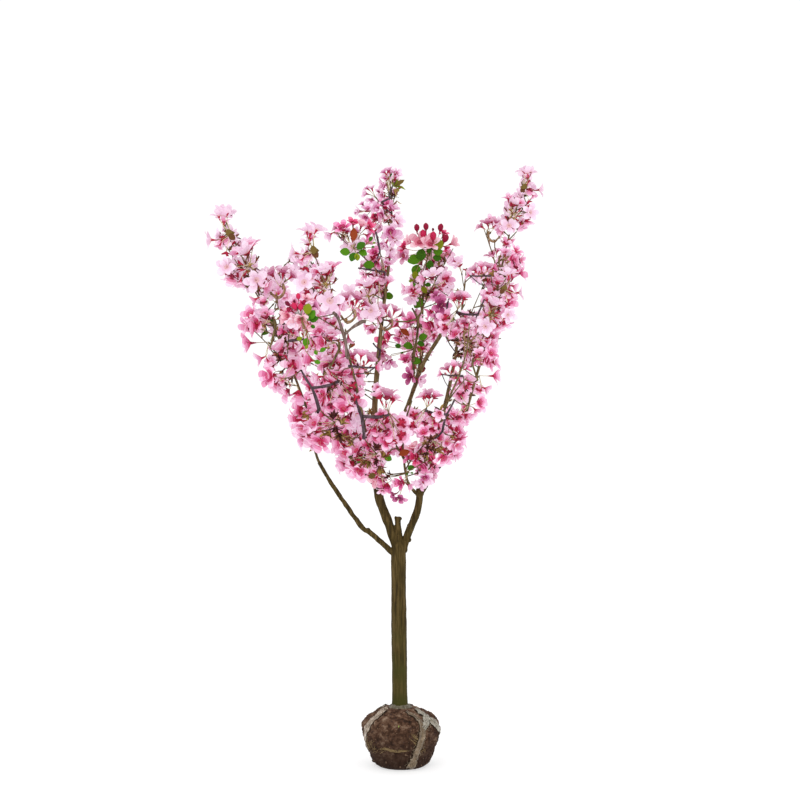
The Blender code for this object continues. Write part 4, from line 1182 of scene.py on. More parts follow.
def in_crown(px, py):
    """Whether the photograph shows blossom at a pixel."""
    if any(math.hypot(px - x, py - y) < radius for x, y, radius in SKY):
        return False
    inside = False
    for (x0, y0), (x1, y1) in zip(OUTLINE, OUTLINE[1:] + OUTLINE[:1]):
        if (y0 > py) != (y1 > py) and px < x0 + (x1 - x0) * (py - y0) / (y1 - y0):
            inside = not inside
    return inside


def seen_from_front(place):
    """Where a place shows in the plane of the trunk, as the camera sees it."""
    scale = CAMERA_BACK / (CAMERA_BACK + place.y)
    return place.x * scale, CAMERA_HIGH + (place.z - CAMERA_HIGH) * scale


def at_depth(x, z, y):
    """The place at a depth that shows at x and z in the plane of the trunk."""
    scale = (CAMERA_BACK + y) / CAMERA_BACK
    return Vector((x * scale, y, CAMERA_HIGH + (z - CAMERA_HIGH) * scale))


def kind_at(mass, place, rng):
    """The kind of spray that grows at a place."""
    words = [kinds for height, kinds in KINDS[mass] if place.z >= height][-1]
    return rng.choice(words.split())


def nearest_point(paths, point):
    """The nearest place to a point on some lines."""
    best, found = 9.0, None
    for path in paths:
        for a, b in zip(path, path[1:]):
            line = b - a
            share = max(0.0, min(1.0, (point - a).dot(line) / line.length_squared))
            place = a + line * share
            if (point - place).length < best:
                best, found = (point - place).length, place
    return found, best


def stem_paths(mass):
    """A mass's stem, from its bough's tip, and then its side shoots."""
    carrier, points, _, _ = MASSES[mass]
    bough = resample(smooth_path(BOUGHS[carrier][0]), 0.032)
    along = (bough[-1] - bough[-2]).normalized()
    start, knee = (bough[-1] + along * reach for reach in STEM_STRAIGHT)
    stem = [bough[-1] - along * 0.004] + resample(smooth_path([start, knee] + points), 0.030)
    paths = [stem]
    for share, tip in SHOOTS.get(mass, []):
        at = round(share * (len(stem) - 1))
        knee = stem[at].lerp(stem[at + 1], 0.5).lerp(Vector(tip), SHOOT_KNEE)
        paths.append(resample(smooth_path([stem[at], knee, tip]), 0.030))
    return paths


stems = {mass: stem_paths(mass) for mass in MASSES}
print("stems and shoots:", sum(len(paths) for paths in stems.values()))

# %% [markdown]
# A flower is put together from its parts. Five petals stand round the axis, each with a turn and a
# tilt a little of its own. The calyx sits behind them and the stamens in the middle. Half-open
# flowers have steeper petals. Every flower hangs on a bent pedicel, and nods or looks up a little.

# %% Flowers, buds and leaves
def facing_turn(facing, spin):
    """The rotation that points Z along facing, spun about it."""
    return (facing.to_track_quat("Z", "Y") @ Quaternion((0, 0, 1), spin)).to_matrix()


def add_flower(heaps, place, facing, size, tint, rng, open_angle):
    """One flower: its petals, stamens and calyx. A star or tube is a calyx that lost its petals."""
    turn = facing_turn(facing, rng.uniform(0, math.tau))
    if tint in ("star", "tube", "brown_tube"):
        shape = calyx_shape if tint == "star" else closed_calyx_shape
        finish = "calyx_brown" if tint == "brown_tube" else "calyx_crimson"
        put(heaps["sprigs"], shape, turn, place, size, {"all": finish})
        return
    slim = open_angle >= 0.60 or tint == "purple"
    petal_form = slim_petal_shape if slim else petal_shape
    names = {"flush": f"petal_{tint}_flush", "heart": f"petal_{tint}_heart"}
    for k in range(5 if slim else rng.choice(PETALS)):
        within = k >= 5  # the petals past the fifth stand in a smaller ring inside
        # a light, middle or dark copy of the petal's colour, dealt at random: painted shade
        shade = rng.choice(("light", "light", "light", "middle", "middle", "dark"))
        names["inner"] = f"petal_{tint}_{shade}_inner"
        names["outer"] = f"petal_{tint}_{shade}_outer"
        spin = Matrix.Rotation(math.tau * k / 5 + rng.uniform(-0.16, 0.16) + 0.7 * within, 3, "Z")
        tilt = Matrix.Rotation(open_angle + rng.uniform(-0.22, 0.22) + 0.35 * within, 3, "X")
        roll = Matrix.Rotation(rng.uniform(-0.25, 0.25), 3, "Y")
        petal = turn @ spin @ tilt @ roll
        root = turn @ spin @ Vector((0, 0.0012, 0.0002)) * size
        put(heaps["petals"], petal_form, petal, place + root,
            PETAL_LONG * size * rng.uniform(0.88, 1.08) * (0.78 if within else 1), names)
    shape = calyx_shape if open_angle < 0.45 else closed_calyx_shape
    put(heaps["sprigs"], shape, turn, place, 0.35 + 0.65 * size,
        {"all": rng.choice(("calyx_crimson", "calyx_crimson", "calyx_dark"))})
    if open_angle < 0.55:
        for k in range(STAMENS):
            spin = Matrix.Rotation(math.tau * k / STAMENS + rng.uniform(-0.3, 0.3), 3, "Z")
            tilt = Matrix.Rotation(-rng.uniform(0.15, 0.6), 3, "X")
            put(heaps["sprigs"], stamen_shape, turn @ spin @ tilt, place, size,
                {"hair": "stamen_filament", "head": "stamen_anther"})


def add_bud(heaps, place, facing, long, finish):
    """A closed bud in its calyx."""
    turn = facing_turn(facing, 0)
    put(heaps["petals"], bud_shape, turn, place, long * 0.80, {"all": finish})
    put(heaps["sprigs"], closed_calyx_shape, turn, place + facing * 0.001, long * 48,
        {"all": "calyx_dark"})


def add_pedicel(heaps, start, way, end, facing, finish):
    """A thin bent stalk that leaves along way and arrives along facing."""
    reach = (end - start).length
    a, b = start + way * reach * 0.35, end - facing * reach * 0.35
    line = [((start * (1 - t) ** 3) + a * 3 * t * (1 - t) ** 2 + b * 3 * t * t * (1 - t)
             + end * t ** 3) for t in (0, 0.33, 0.67, 1)]
    heaps["sprigs"].add(*tube(line, [0.00090, 0.00080, 0.00080, 0.00110], 4), finish)


def add_leaf(heaps, shape, place, axis, up, long, finish):
    """A leaf or scale that points along axis, its upper side towards up."""
    up = (up - axis * up.dot(axis)).normalized()
    turn = Matrix((axis.cross(up), axis, up)).transposed()
    put(heaps["leaves"], shape, turn, place, long, {"all": finish})


def add_tuft(heaps, place, way, count, long, rng, finishes):
    """Narrow young leaves that spread from the tip of a spur."""
    side = side_of(way)
    spin = rng.uniform(0, math.tau)
    for k in range(count):
        angle = spin + GOLDEN_ANGLE * k
        lean = rng.uniform(0.35, 1.35)
        out = side * math.cos(angle) + way.cross(side) * math.sin(angle)
        axis = (way * math.cos(lean) + out * math.sin(lean)).normalized()
        add_leaf(heaps, scale_shape, place - way * 0.002, axis, way, long * rng.uniform(0.7, 1.1),
                 rng.choice(finishes))


def add_spur(heaps, foot, way):
    """A short thick shoot with a knuckle, which sprays spring from."""
    tip = foot + way * SPUR_LONG
    heaps["twigs"].add(*tube([foot - way * 0.002, foot + way * 0.003, tip],
                             [0.0015, 0.0022, 0.0017], 6), "crabapple_twig_bark")
    return tip


# %% [markdown]
# The photograph shows the same bough of blossom again and again, as a nursery's cut-out picture often
# does: four times in full, once in part, two of them mirrored. It is written down once here, as it
# stands furthest left. Places are the photograph's own pixels, x to the right and y down. A flower
# has its place, the way it looks in degrees from the right, how far it looks towards the viewer from
# -1 to 1, its size, how closed it is, and its tint. Flowers that spring from one spur stand together.

# %% The bough of the photograph
YOUNG = ("young_leaf_olive", "young_leaf_olive", "young_leaf_gold", "young_leaf_brown")
BROWN = ("young_leaf_brown", "young_leaf_dark", "young_leaf_olive")
DARK = ("young_leaf_dark", "young_leaf_dark", "young_leaf_brown")
GOLD = ("young_leaf_gold", "young_leaf_olive", "young_leaf_olive", "young_leaf_brown")
PLUME = [
    ((231, 236), [
        (223, 218, 82, -0.15, 1.20, 0.45, "pale"), (219, 217, 108, -0.15, 0.95, 0.60, "pale"),
        (228, 213, 72, -0.15, 0.95, 0.60, "pale"), (224, 223, 85, -0.10, 0.70, 0.75, "rose"),
        (212, 240, 178, 0.00, 1.10, 0.60, "pale"), (223, 238, 280, -0.45, 1.00, 0.35, "rose"),
        (220, 245, 245, 0.10, 0.75, 0.65, "rose"), (226, 254, 260, -0.30, 0.95, 0.30, "star")]),
    ((250, 267), [
        (252, 247, 92, -0.10, 1.00, 0.70, "rose"), (247, 253, 125, 0.25, 1.35, 0.40, "pale"),
        (238, 254, 150, -0.40, 0.85, 0.45, "rose"), (227, 267, 180, 0.80, 1.15, 0.28, "pale"),
        (232, 277, 250, -0.25, 1.10, 0.40, "rose"), (241, 281, 262, 0.10, 1.00, 0.50, "rose"),
        (256, 280, 300, 0.85, 1.30, 0.25, "pale"), (265, 285, 345, 0.20, 1.15, 0.35, "rose"),
        (266, 277, 30, 0.30, 1.00, 0.35, "pale"), (241, 270, 188, 0.10, 0.95, 0.50, "tube"),
        (240, 263, 150, 0.10, 0.90, 0.50, "tube"), (248, 257, 95, 0.10, 0.80, 0.50, "brown_tube"),
        (257, 259, 68, 0.10, 0.90, 0.50, "brown_tube"), (256, 272, 305, 0.10, 0.80, 0.50, "brown_tube"),
        (245, 274, 235, 0.10, 0.80, 0.50, "tube")]),
    ((282, 287), [
        (273, 276, 120, -0.10, 1.05, 0.75, "dusky"), (283, 275, 85, -0.10, 1.05, 0.80, "dusky"),
        (291, 277, 42, 0.00, 1.00, 0.60, "dusky")]),
    ((271, 294), [
        (256, 299, 205, 0.00, 0.80, 0.60, "rose"), (264, 303, 125, -0.55, 0.85, 0.28, "rose")]),
    ((278, 307), [(282, 312, 287, 0.00, 0.85, 0.90, "dusky")]),
]
ROSE_SPUR = [
    ((273, 323), [
        (252, 315, 140, 0.50, 1.05, 0.35, "deep"), (248, 326, 190, 0.30, 1.00, 0.40, "rose"),
        (259, 322, 200, 0.50, 1.05, 0.35, "deep"), (266, 316, 92, 0.35, 1.05, 0.45, "rose"),
        (256, 326, 190, 0.20, 1.20, 0.40, "deep")]),
    ((270, 344), [
        (251, 343, 183, 0.10, 1.30, 0.50, "deep"), (262, 358, 205, 0.10, 1.00, 0.50, "rose"),
        (268, 361, 300, 0.00, 0.80, 0.50, "rose")]),
    ((287, 358), [(281, 350, 125, 0.20, 1.35, 0.42, "rose"), (286, 357, 118, 0.10, 0.90, 0.50, "tube")]),
    ((300, 341), [
        (284, 332, 165, 0.10, 0.80, 0.55, "cherry"), (291, 331, 112, -0.20, 0.90, 0.52, "dusky"),
        (299, 329, 92, -0.20, 0.95, 0.50, "rose"), (307, 332, 68, -0.20, 0.95, 0.50, "dusky"),
        (303, 335, 105, 0.10, 0.75, 0.50, "tube"), (310, 337, 50, 0.10, 0.75, 0.50, "tube"),
        (315, 337, 15, -0.10, 0.90, 0.60, "rose"), (293, 347, 262, -0.20, 0.95, 0.80, "dusky")]),
    ((287, 378), [
        (271, 376, 175, 0.45, 1.35, 0.28, "deep"), (276, 384, 230, -0.20, 0.90, 0.50, "rose"),
        (293, 365, 90, -0.90, 1.25, 0.12, "rose"), (290, 385, 280, 0.00, 0.60, 0.50, "tube"),
        (287, 391, 215, 0.20, 1.20, 0.40, "rose"), (298, 393, 262, -0.25, 1.20, 0.42, "rose")]),
]
FORK = [
    ((338, 381), [
        (326, 365, 125, -0.10, 1.10, 0.42, "rose"), (333, 364, 92, -0.15, 1.20, 0.40, "dusky"),
        (339, 364, 58, -0.10, 1.05, 0.42, "rose"), (329, 370, 120, 0.10, 0.80, 0.50, "tube"),
        (334, 371, 95, 0.10, 0.80, 0.50, "tube"), (340, 367, 70, 0.10, 0.75, 0.50, "tube"),
        (353, 387, 60, -0.85, 1.25, 0.20, "rose"),
        (355, 399, 330, -0.70, 1.20, 0.28, "rose"), (350, 406, 280, -0.50, 0.85, 0.30, "star"),
        (353, 385, 80, 0.70, 0.90, 0.30, "star"), (356, 397, 340, 0.60, 0.90, 0.30, "star")]),
    ((331, 389), [
        (328, 397, 255, -0.35, 0.95, 0.45, "deep"), (340, 398, 300, -0.55, 1.05, 0.32, "deep"),
        (323, 403, 262, 0.00, 0.95, 0.50, "tube"), (331, 405, 280, -0.50, 0.95, 0.35, "deep"),
        (335, 386, 60, -0.20, 0.80, 0.50, "brown_tube")]),
    ((333, 421), [
        (343, 410, 75, 0.55, 1.15, 0.32, "deep"), (337, 405, 110, 0.10, 0.85, 0.50, "rose"),
        (315, 424, 150, 0.50, 1.15, 0.38, "rose"),
        (303, 427, 235, 0.55, 1.25, 0.35, "rose"), (318, 432, 185, 0.10, 0.95, 0.50, "tube"),
        (312, 438, 240, 0.20, 1.50, 0.33, "rose"), (303, 438, 215, 0.10, 1.15, 0.40, "rose"),
        (321, 441, 252, 0.50, 1.30, 0.28, "deep"), (336, 428, 300, 0.10, 0.90, 0.50, "tube"),
        (324, 415, 160, -0.20, 0.95, 0.45, "deep")]),
    ((308, 415), [
        (300, 408, 165, 0.10, 1.30, 0.42, "deep"), (297, 420, 190, 0.10, 1.25, 0.45, "deep"),
        (304, 414, 160, 0.00, 0.90, 0.50, "tube"), (303, 421, 190, 0.00, 0.90, 0.50, "tube")]),
    ((350, 441), [(345, 437, 300, 0.10, 0.90, 0.50, "brown_tube")]),
]
BEHIND_FORK = [((350, 441), [
    (319, 377, 185, 0.10, 0.95, 0.50, "deep"), (342, 374, 78, 0.30, 1.15, 0.45, "deep"),
    (353, 414, 350, 0.40, 1.40, 0.28, "pale"), (350, 423, 320, 0.20, 1.20, 0.40, "pale"),
    (357, 433, 40, 0.10, 0.95, 0.50, "pale"), (360, 439, 20, -0.20, 0.90, 0.45, "rose")])]
BRANCH_TUFTS = [  # place, direction, leaves, length in millimetres, colours
    (250, 266, 90, 6, 17, YOUNG), (277, 296, 110, 5, 12, BROWN), (273, 319, 100, 6, 15, BROWN),
    (266, 327, 175, 5, 18, YOUNG), (277, 330, 30, 4, 14, BROWN), (297, 339, 90, 5, 12, DARK),
    (300, 341, 300, 3, 11, GOLD), (333, 419, 80, 14, 26, DARK), (341, 424, 60, 10, 24, GOLD),
    (330, 431, 235, 14, 27, GOLD), (340, 434, 285, 14, 27, BROWN), (308, 415, 260, 8, 20, YOUNG),
    (334, 385, 80, 5, 15, DARK), (351, 441, 250, 7, 18, BROWN), (285, 358, 260, 4, 14, DARK),
    (336, 427, 270, 10, 24, DARK), (303, 412, 330, 6, 18, BROWN), (325, 434, 200, 8, 22, GOLD),
    (256, 268, 270, 5, 14, DARK), (250, 271, 215, 5, 15, YOUNG),
]
BRANCH_LEAVES = [  # middle of the leaf, direction, length in millimetres, finish
    (229, 233, 110, 22, "leaf_olive"), (232, 237, 320, 21, "leaf_umber"),
    (231, 234, 200, 20, "leaf_olive"),
]
BRANCH_TWIGS = [  # points, first and last radius in millimetres, finish
    ([(277, 298), (281, 297), (284, 293), (285, 289), (283, 284)], 4.4, 2.6, "tan_spur_bark"),
    ([(277, 298), (274, 296), (270, 292)], 4.0, 2.0, "tan_spur_bark"),
    ([(274, 319), (276, 326), (274, 333), (272, 341), (270, 347)], 3.4, 2.4, "crabapple_twig_bark"),
    ([(288, 341), (296, 340), (306, 339), (315, 337)], 3.4, 2.2, "grey_purple_twig"),
    ([(301, 370), (306, 379), (312, 388), (316, 398), (319, 409)], 2.8, 4.8, "grey_purple_twig"),
    ([(312, 388), (321, 387), (331, 385), (339, 381)], 3.6, 4.4, "grey_purple_twig"),
]

# %% [markdown]
# Between these boughs stand sprigs of another kind, with crimson buds on long stalks over a bunch of
# round green leaves. Small lilac flowers cover the leader's top, and a few loose magenta ones hang
# below. They are written down where they stand, in the same way.

# %% Sprigs of buds and green leaves
BUD_SPRIG = [((431, 251), [
    (420, 243, 120, 0.60, 1.20, 0.35, "salmon"), (430, 245, 80, 0.70, 1.15, 0.35, "salmon"),
    (411, 243, 160, 0.30, 1.00, 0.50, "salmon"), (405, 248, 150, 0.50, 0.75, 0.50, "scarlet"),
    (404, 256, 190, 0.75, 1.00, 0.35, "dusky"), (451, 244, 20, 0.30, 0.95, 0.50, "salmon"),
    (443, 235, 70, 0.40, 0.65, 0.60, "scarlet"), (445, 247, 330, 0.20, 0.65, 0.60, "scarlet"),
    (451, 258, 282, 0.10, 0.75, 0.70, "purple"), (427, 270, 250, 0.20, 0.75, 0.60, "purple"),
    (433, 272, 300, 0.20, 0.70, 0.60, "purple")])]
SPRIG_BUDS = [  # foot of the bud, direction, length in millimetres, finish
    (417, 231, 94, 20, "bud_crimson"), (426, 230, 92, 20, "bud_crimson"),
    (440, 231, 80, 21, "bud_crimson"), (433, 231, 90, 9, "bud_maroon"), (424, 238, 100, 24, "bud_rose"),
    (433, 240, 88, 24, "bud_rose"), (444, 242, 70, 24, "bud_crimson"), (437, 269, 10, 22, "bud_maroon"),
]
SPRIG_LEAVES = [
    (439, 245, 55, 32, "leaf_yellow_green"), (438, 252, 5, 27, "leaf_bright_green"),
    (437, 258, 170, 25, "leaf_dark_green"), (414, 260, 195, 38, "leaf_bright_green"),
    (421, 255, 255, 36, "leaf_dark_green"), (430, 265, 275, 27, "leaf_dark_green"),
    (416, 270, 245, 32, "leaf_bright_green"), (415, 275, 255, 22, "leaf_yellow_green"),
    (411, 281, 200, 13, "leaf_yellow_green"), (414, 285, 300, 15, "leaf_bright_green"),
    (428, 285, 0, 18, "leaf_dark_green"), (424, 290, 310, 22, "leaf_yellow_green"),
    (418, 303, 235, 35, "leaf_bright_green"), (429, 251, 200, 16, "leaf_dark_green"),
]
LEFT_SPRIG = [((354, 249), [
    (343, 229, 110, 0.50, 1.00, 0.35, "cherry"), (331, 234, 215, 0.20, 0.80, 0.50, "lilac"),
    (337, 229, 150, 0.10, 0.65, 0.75, "dusky"), (353, 225, 85, 0.30, 0.85, 0.50, "scarlet"),
    (361, 227, 70, 0.20, 0.95, 0.50, "salmon"), (367, 228, 20, 0.40, 0.85, 0.45, "scarlet"),
    (366, 235, 330, 0.10, 0.70, 0.70, "cherry")])]
LEFT_SPRIG_LEAVES = [
    (354, 234, 92, 36, "leaf_bronze"), (345, 252, 175, 27, "leaf_bright_green"),
    (353, 257, 245, 26, "leaf_dark_green"), (361, 246, 40, 27, "leaf_dark_green"),
    (363, 253, 330, 24, "leaf_bright_green"), (357, 257, 280, 20, "leaf_yellow_green"),
    (371, 239, 60, 15, "leaf_dark_green"), (374, 243, 200, 8, "leaf_yellow_green"),
    (373, 247, 180, 8, "leaf_dark_green"),
]
INNER_SPRIG = [((414, 352), [
    (410, 321, 110, 0.50, 0.95, 0.40, "cherry"), (417, 317, 60, 0.20, 0.85, 0.55, "dusky"),
    (398, 326, 140, 0.30, 0.80, 0.50, "scarlet"), (391, 335, 190, 0.30, 0.85, 0.45, "scarlet"),
    (399, 337, 250, 0.30, 0.65, 0.50, "cherry"), (384, 341, 180, 0.40, 1.00, 0.40, "scarlet"),
    (382, 352, 250, 0.50, 1.15, 0.35, "dusky"), (389, 361, 290, 0.40, 0.95, 0.40, "lilac"),
    (382, 363, 230, 0.30, 0.80, 0.45, "lilac"), (406, 361, 100, 0.50, 0.90, 0.40, "cherry"),
    (412, 376, 190, 0.50, 1.00, 0.45, "purple"), (418, 379, 340, 0.30, 0.90, 0.45, "lilac"),
    (436, 298, 95, 0.40, 0.80, 0.50, "purple"), (441, 306, 45, 0.80, 1.10, 0.40, "purple"),
    (438, 315, 290, 0.80, 0.85, 0.40, "purple"),
    (431, 312, 200, 0.10, 0.85, 0.40, "cherry"), (431, 324, 220, 0.30, 1.20, 0.38, "cherry"),
    (429, 329, 230, 0.20, 0.80, 0.50, "salmon"), (434, 338, 250, 0.00, 0.85, 0.60, "lilac")])]
INNER_TWIGS = [  # the bare limb behind the leaves, the sprig's own stem, and the bare twig to its left
    ([(443, 330), (439, 338), (431, 350), (424, 362), (420, 371)], 4.6, 6.4, "crabapple_twig_bark"),
    ([(423, 310), (418, 317), (418, 327), (417, 338), (413, 357)], 3.0, 4.4, "crabapple_twig_bark"),
    ([(412, 308), (415, 313), (418, 319)], 2.6, 3.0, "crabapple_twig_bark"),
    ([(446, 306), (450, 296), (448, 302), (443, 330)], 1.6, 2.4, "grey_purple_twig"),
]
LEFT_TWIGS = [
    ([(333, 312), (338, 317), (341, 326), (344, 334), (346, 344), (347, 356)], 3.6, 4.0, "grey_brown_twig"),
    ([(366, 322), (363, 321), (358, 324), (353, 327), (345, 334)], 4.6, 3.0, "grey_brown_twig"),
]
INNER_LEAVES = [
    (405, 332.5, 325, 31, "leaf_bronze"), (408, 346, 175, 27, "leaf_bright_green"),
    (398, 346, 170, 17, "leaf_dark_green"), (423, 337, 15, 25, "leaf_bright_green"),
    (421, 344, 340, 21, "leaf_dark_green"), (419, 350, 300, 13, "leaf_yellow_green"),
    (416, 361, 350, 27, "leaf_bright_green"), (402, 353, 0, 8, "leaf_dark_green"),
]
LEFT_BUDS = [((303, 318), [
    (287, 316, 190, 0.50, 1.00, 0.35, "salmon"), (293, 321, 250, 0.40, 0.95, 0.40, "pale"),
    (300, 319, 270, 0.60, 1.10, 0.30, "salmon"), (291, 311, 130, 0.40, 0.70, 0.60, "scarlet"),
    (297, 309, 100, 0.40, 0.70, 0.60, "scarlet"), (306, 300, 60, 0.40, 0.85, 0.45, "salmon"),
    (302, 305, 80, 0.40, 0.60, 0.60, "scarlet"), (314, 306, 20, 0.10, 0.70, 0.70, "purple"),
    (309, 325, 300, 0.20, 0.75, 0.50, "salmon")])]
LEFT_BUDS_BUDS = [
    (288, 305, 135, 15, "bud_maroon"), (298, 298, 95, 16, "bud_rose"), (294, 302, 110, 9, "bud_maroon"),
    (295, 309, 115, 19, "bud_rose"), (300, 310, 85, 19, "bud_rose"), (291, 311, 150, 17, "bud_crimson"),
    (303, 304, 70, 14, "bud_crimson"),
]
LEFT_BUDS_LEAVES = [
    (308.2, 308.6, 80, 30, "leaf_yellow_green"), (312.5, 315, 55, 29, "leaf_bright_green"),
    (315, 320, 15, 25, "leaf_dark_green"), (313.7, 328, 340, 13, "leaf_dark_green"),
    (306.5, 345, 262, 24, "leaf_bright_green"), (307, 350, 250, 12, "leaf_yellow_green"),
    (324.6, 353.4, 30, 18, "leaf_bright_green"), (317, 356, 120, 14, "leaf_bright_green"),
    (318.5, 366.7, 340, 17, "leaf_bright_green"), (299, 341, 200, 15, "leaf_yellow_green"),
    (309, 319, 250, 14, "leaf_dark_green"),
]
LEADER = [
    ((389, 194), [
        (389, 171, 100, 0.20, 0.60, 0.45, "lilac"), (396, 174, 30, 0.50, 0.65, 0.35, "lilac"),
        (386, 179, 120, 0.50, 0.65, 0.35, "lilac"), (384, 187, 170, 0.50, 0.60, 0.40, "lilac"),
        (383, 195, 200, 0.50, 0.65, 0.35, "lilac"), (385, 173, 130, 0.10, 0.60, 0.60, "lilac"),
        (383, 183, 190, 0.10, 0.60, 0.55, "lilac"), (388, 200, 260, 0.40, 0.55, 0.45, "lilac")]),
    ((377, 199), [
        (372, 189, 110, 0.10, 0.60, 0.50, "lilac"), (367, 194, 170, 0.20, 0.60, 0.50, "lilac"),
        (372, 199, 230, 0.40, 0.62, 0.35, "lilac"), (368, 189, 140, 0.00, 0.55, 0.60, "lilac")]),
    ((374, 209), [
        (360, 211, 180, 0.10, 0.65, 0.50, "lilac"), (368, 210, 120, 0.40, 0.72, 0.40, "lilac"),
        (366, 217, 240, 0.50, 0.75, 0.40, "lilac"), (363, 205, 130, 0.00, 0.60, 0.60, "lilac"),
        (373, 216, 250, 0.10, 0.60, 0.50, "tube"), (357, 213, 190, 0.00, 0.50, 0.60, "lilac")]),
    ((385, 213), [
        (378, 209, 160, 0.50, 0.80, 0.35, "lilac"), (385, 207, 95, 0.40, 0.90, 0.40, "cherry"),
        (391, 209, 40, 0.40, 0.80, 0.40, "lilac"), (393, 216, 330, 0.30, 0.75, 0.45, "lilac"),
        (382, 214, 220, 0.50, 0.75, 0.40, "lilac"), (397, 221, 30, 0.40, 0.75, 0.40, "pale"),
        (377, 220, 170, 0.40, 0.80, 0.45, "scarlet"), (385, 220, 60, 0.30, 0.70, 0.50, "salmon"),
        (372, 226, 200, 0.30, 0.80, 0.45, "rose"), (375, 231, 230, 0.20, 0.75, 0.50, "dusky")]),
    ((389, 226), [
        (390, 231, 300, 0.65, 1.20, 0.28, "lilac"), (383, 229, 160, 0.30, 0.90, 0.50, "lilac"),
        (394, 239, 310, 0.30, 0.95, 0.45, "pale"), (386, 243, 240, 0.30, 1.00, 0.50, "lilac"),
        (395, 226, 40, 0.30, 0.80, 0.50, "lilac"), (391, 248, 270, 0.40, 0.80, 0.45, "pale")]),
    ((381, 256), [
        (376, 254, 130, 0.50, 0.90, 0.40, "cherry"), (378, 261, 240, 0.30, 0.85, 0.50, "cherry"),
        (386, 266, 60, 0.30, 0.95, 0.45, "lilac"), (383, 275, 250, 0.20, 0.90, 0.50, "dusky"),
        (389, 257, 20, 0.20, 0.80, 0.50, "lilac"), (388, 283, 60, 0.10, 0.85, 0.55, "rose"),
        (366, 274, 200, 0.30, 0.80, 0.45, "rose"), (363, 266, 170, 0.10, 0.60, 0.60, "dusky"),
        (387, 316, 30, 0.10, 0.90, 0.60, "dusky"), (390, 322, 330, 0.00, 0.80, 0.60, "rose")]),
]
LEADER_TUFTS = [
    (394, 186, 30, 6, 34, ("leaf_yellow_green", "leaf_olive")), (394, 190, 350, 3, 26, GOLD),
    (389, 220, 290, 4, 13, DARK), (382, 202, 200, 4, 10, DARK), (397, 201, 270, 2, 20, GOLD),
    (376, 273, 90, 4, 12, BROWN),
]
LEADER_LEAVES = [(369, 265, 5, 30, "leaf_bright_green")]
LEADER_BUDS = [(368, 275, 350, 16, "bud_maroon"), (374, 217, 60, 11, "bud_maroon")]
LEADER_TWIGS = [
    ([(395, 182), (392, 187), (389, 195)], 1.6, 2.4, "grey_purple_twig"),
    ([(394, 196), (388, 199), (382, 202)], 1.5, 2.8, "grey_purple_twig"),
    ([(376, 232), (378, 241), (380, 251)], 2.6, 3.0, "grey_purple_twig"),
    ([(358, 268), (371, 270), (385, 272)], 2.2, 2.6, "grey_purple_twig"),
    ([(373, 343), (376, 347), (380, 350)], 2.0, 3.2, "grey_purple_twig"),
]
PALE_SPRIG = [
    ((462, 275), [
        (459, 265, 120, 0.40, 1.00, 0.35, "pale"), (466, 270, 340, 0.20, 0.80, 0.50, "pale"),
        (454, 261, 150, 0.20, 0.70, 0.50, "lilac")]),
    ((497, 262), [(493, 257, 110, -0.10, 0.95, 0.65, "dusky"), (497, 252, 70, 0.00, 0.60, 0.80, "dusky")]),
    ((437, 288), [
        (433, 276, 110, 0.40, 1.20, 0.35, "pale"), (425, 279, 190, 0.20, 0.90, 0.50, "rose"),
        (446, 279, 60, -0.60, 0.95, 0.30, "rose"), (446, 285, 300, 0.30, 0.80, 0.45, "pale")]),
    ((420, 297), [
        (413, 291, 150, -0.40, 1.00, 0.35, "rose"), (407, 289, 180, -0.10, 0.90, 0.50, "rose"),
        (413, 297, 240, 0.30, 0.90, 0.40, "pale")]),
]
FRINGE = [
    ((408, 463), [
        (413, 449, 100, 0.30, 0.90, 0.45, "salmon"), (417, 457, 200, 0.40, 1.00, 0.40, "scarlet"),
        (409, 458, 170, 0.20, 0.80, 0.50, "cherry")]),
    ((424, 458), [
        (424, 464, 230, 0.50, 1.05, 0.40, "cherry"), (432, 466, 320, 0.30, 1.00, 0.40, "rose"),
        (430, 460, 40, 0.30, 0.90, 0.45, "scarlet")]),
    ((421, 471), [
        (425, 477, 260, 0.60, 1.15, 0.35, "lilac"), (421, 482, 220, 0.40, 0.95, 0.40, "lilac"),
        (431, 474, 350, 0.30, 0.95, 0.45, "dusky")]),
    ((408, 473), [
        (402, 482, 200, 0.50, 0.90, 0.40, "cherry"), (399, 497, 250, 0.40, 0.95, 0.40, "purple"),
        (395, 494, 200, 0.20, 0.75, 0.50, "purple"), (408, 485, 330, 0.30, 0.75, 0.50, "rose"),
        (396, 484, 180, 0.20, 0.75, 0.50, "rose")]),
    ((384, 477), [
        (387, 485, 250, -0.40, 0.95, 0.35, "cherry"), (376, 478, 230, 0.30, 1.00, 0.45, "salmon"),
        (383, 489, 250, 0.30, 0.70, 0.50, "rose")]),
]
FRINGE_LEAVES = [
    (404, 453, 200, 31, "leaf_bronze"), (411, 468, 20, 19, "leaf_dark_green"),
    (388, 458, 330, 22, "leaf_bright_green"), (407, 474, 300, 8, "leaf_dark_green"),
    (412, 473, 0, 7, "leaf_bright_green"), (372, 476, 200, 20, "leaf_olive"),
]
FRINGE_TWIGS = [([(404, 474), (412, 469), (420, 465), (428, 459)], 1.2, 1.8, "crabapple_twig_bark")]
FRINGE_TUFTS = [(427, 450, 90, 8, 20, BROWN), (420, 471, 90, 4, 13, DARK), (434, 468, 90, 4, 12, DARK)]
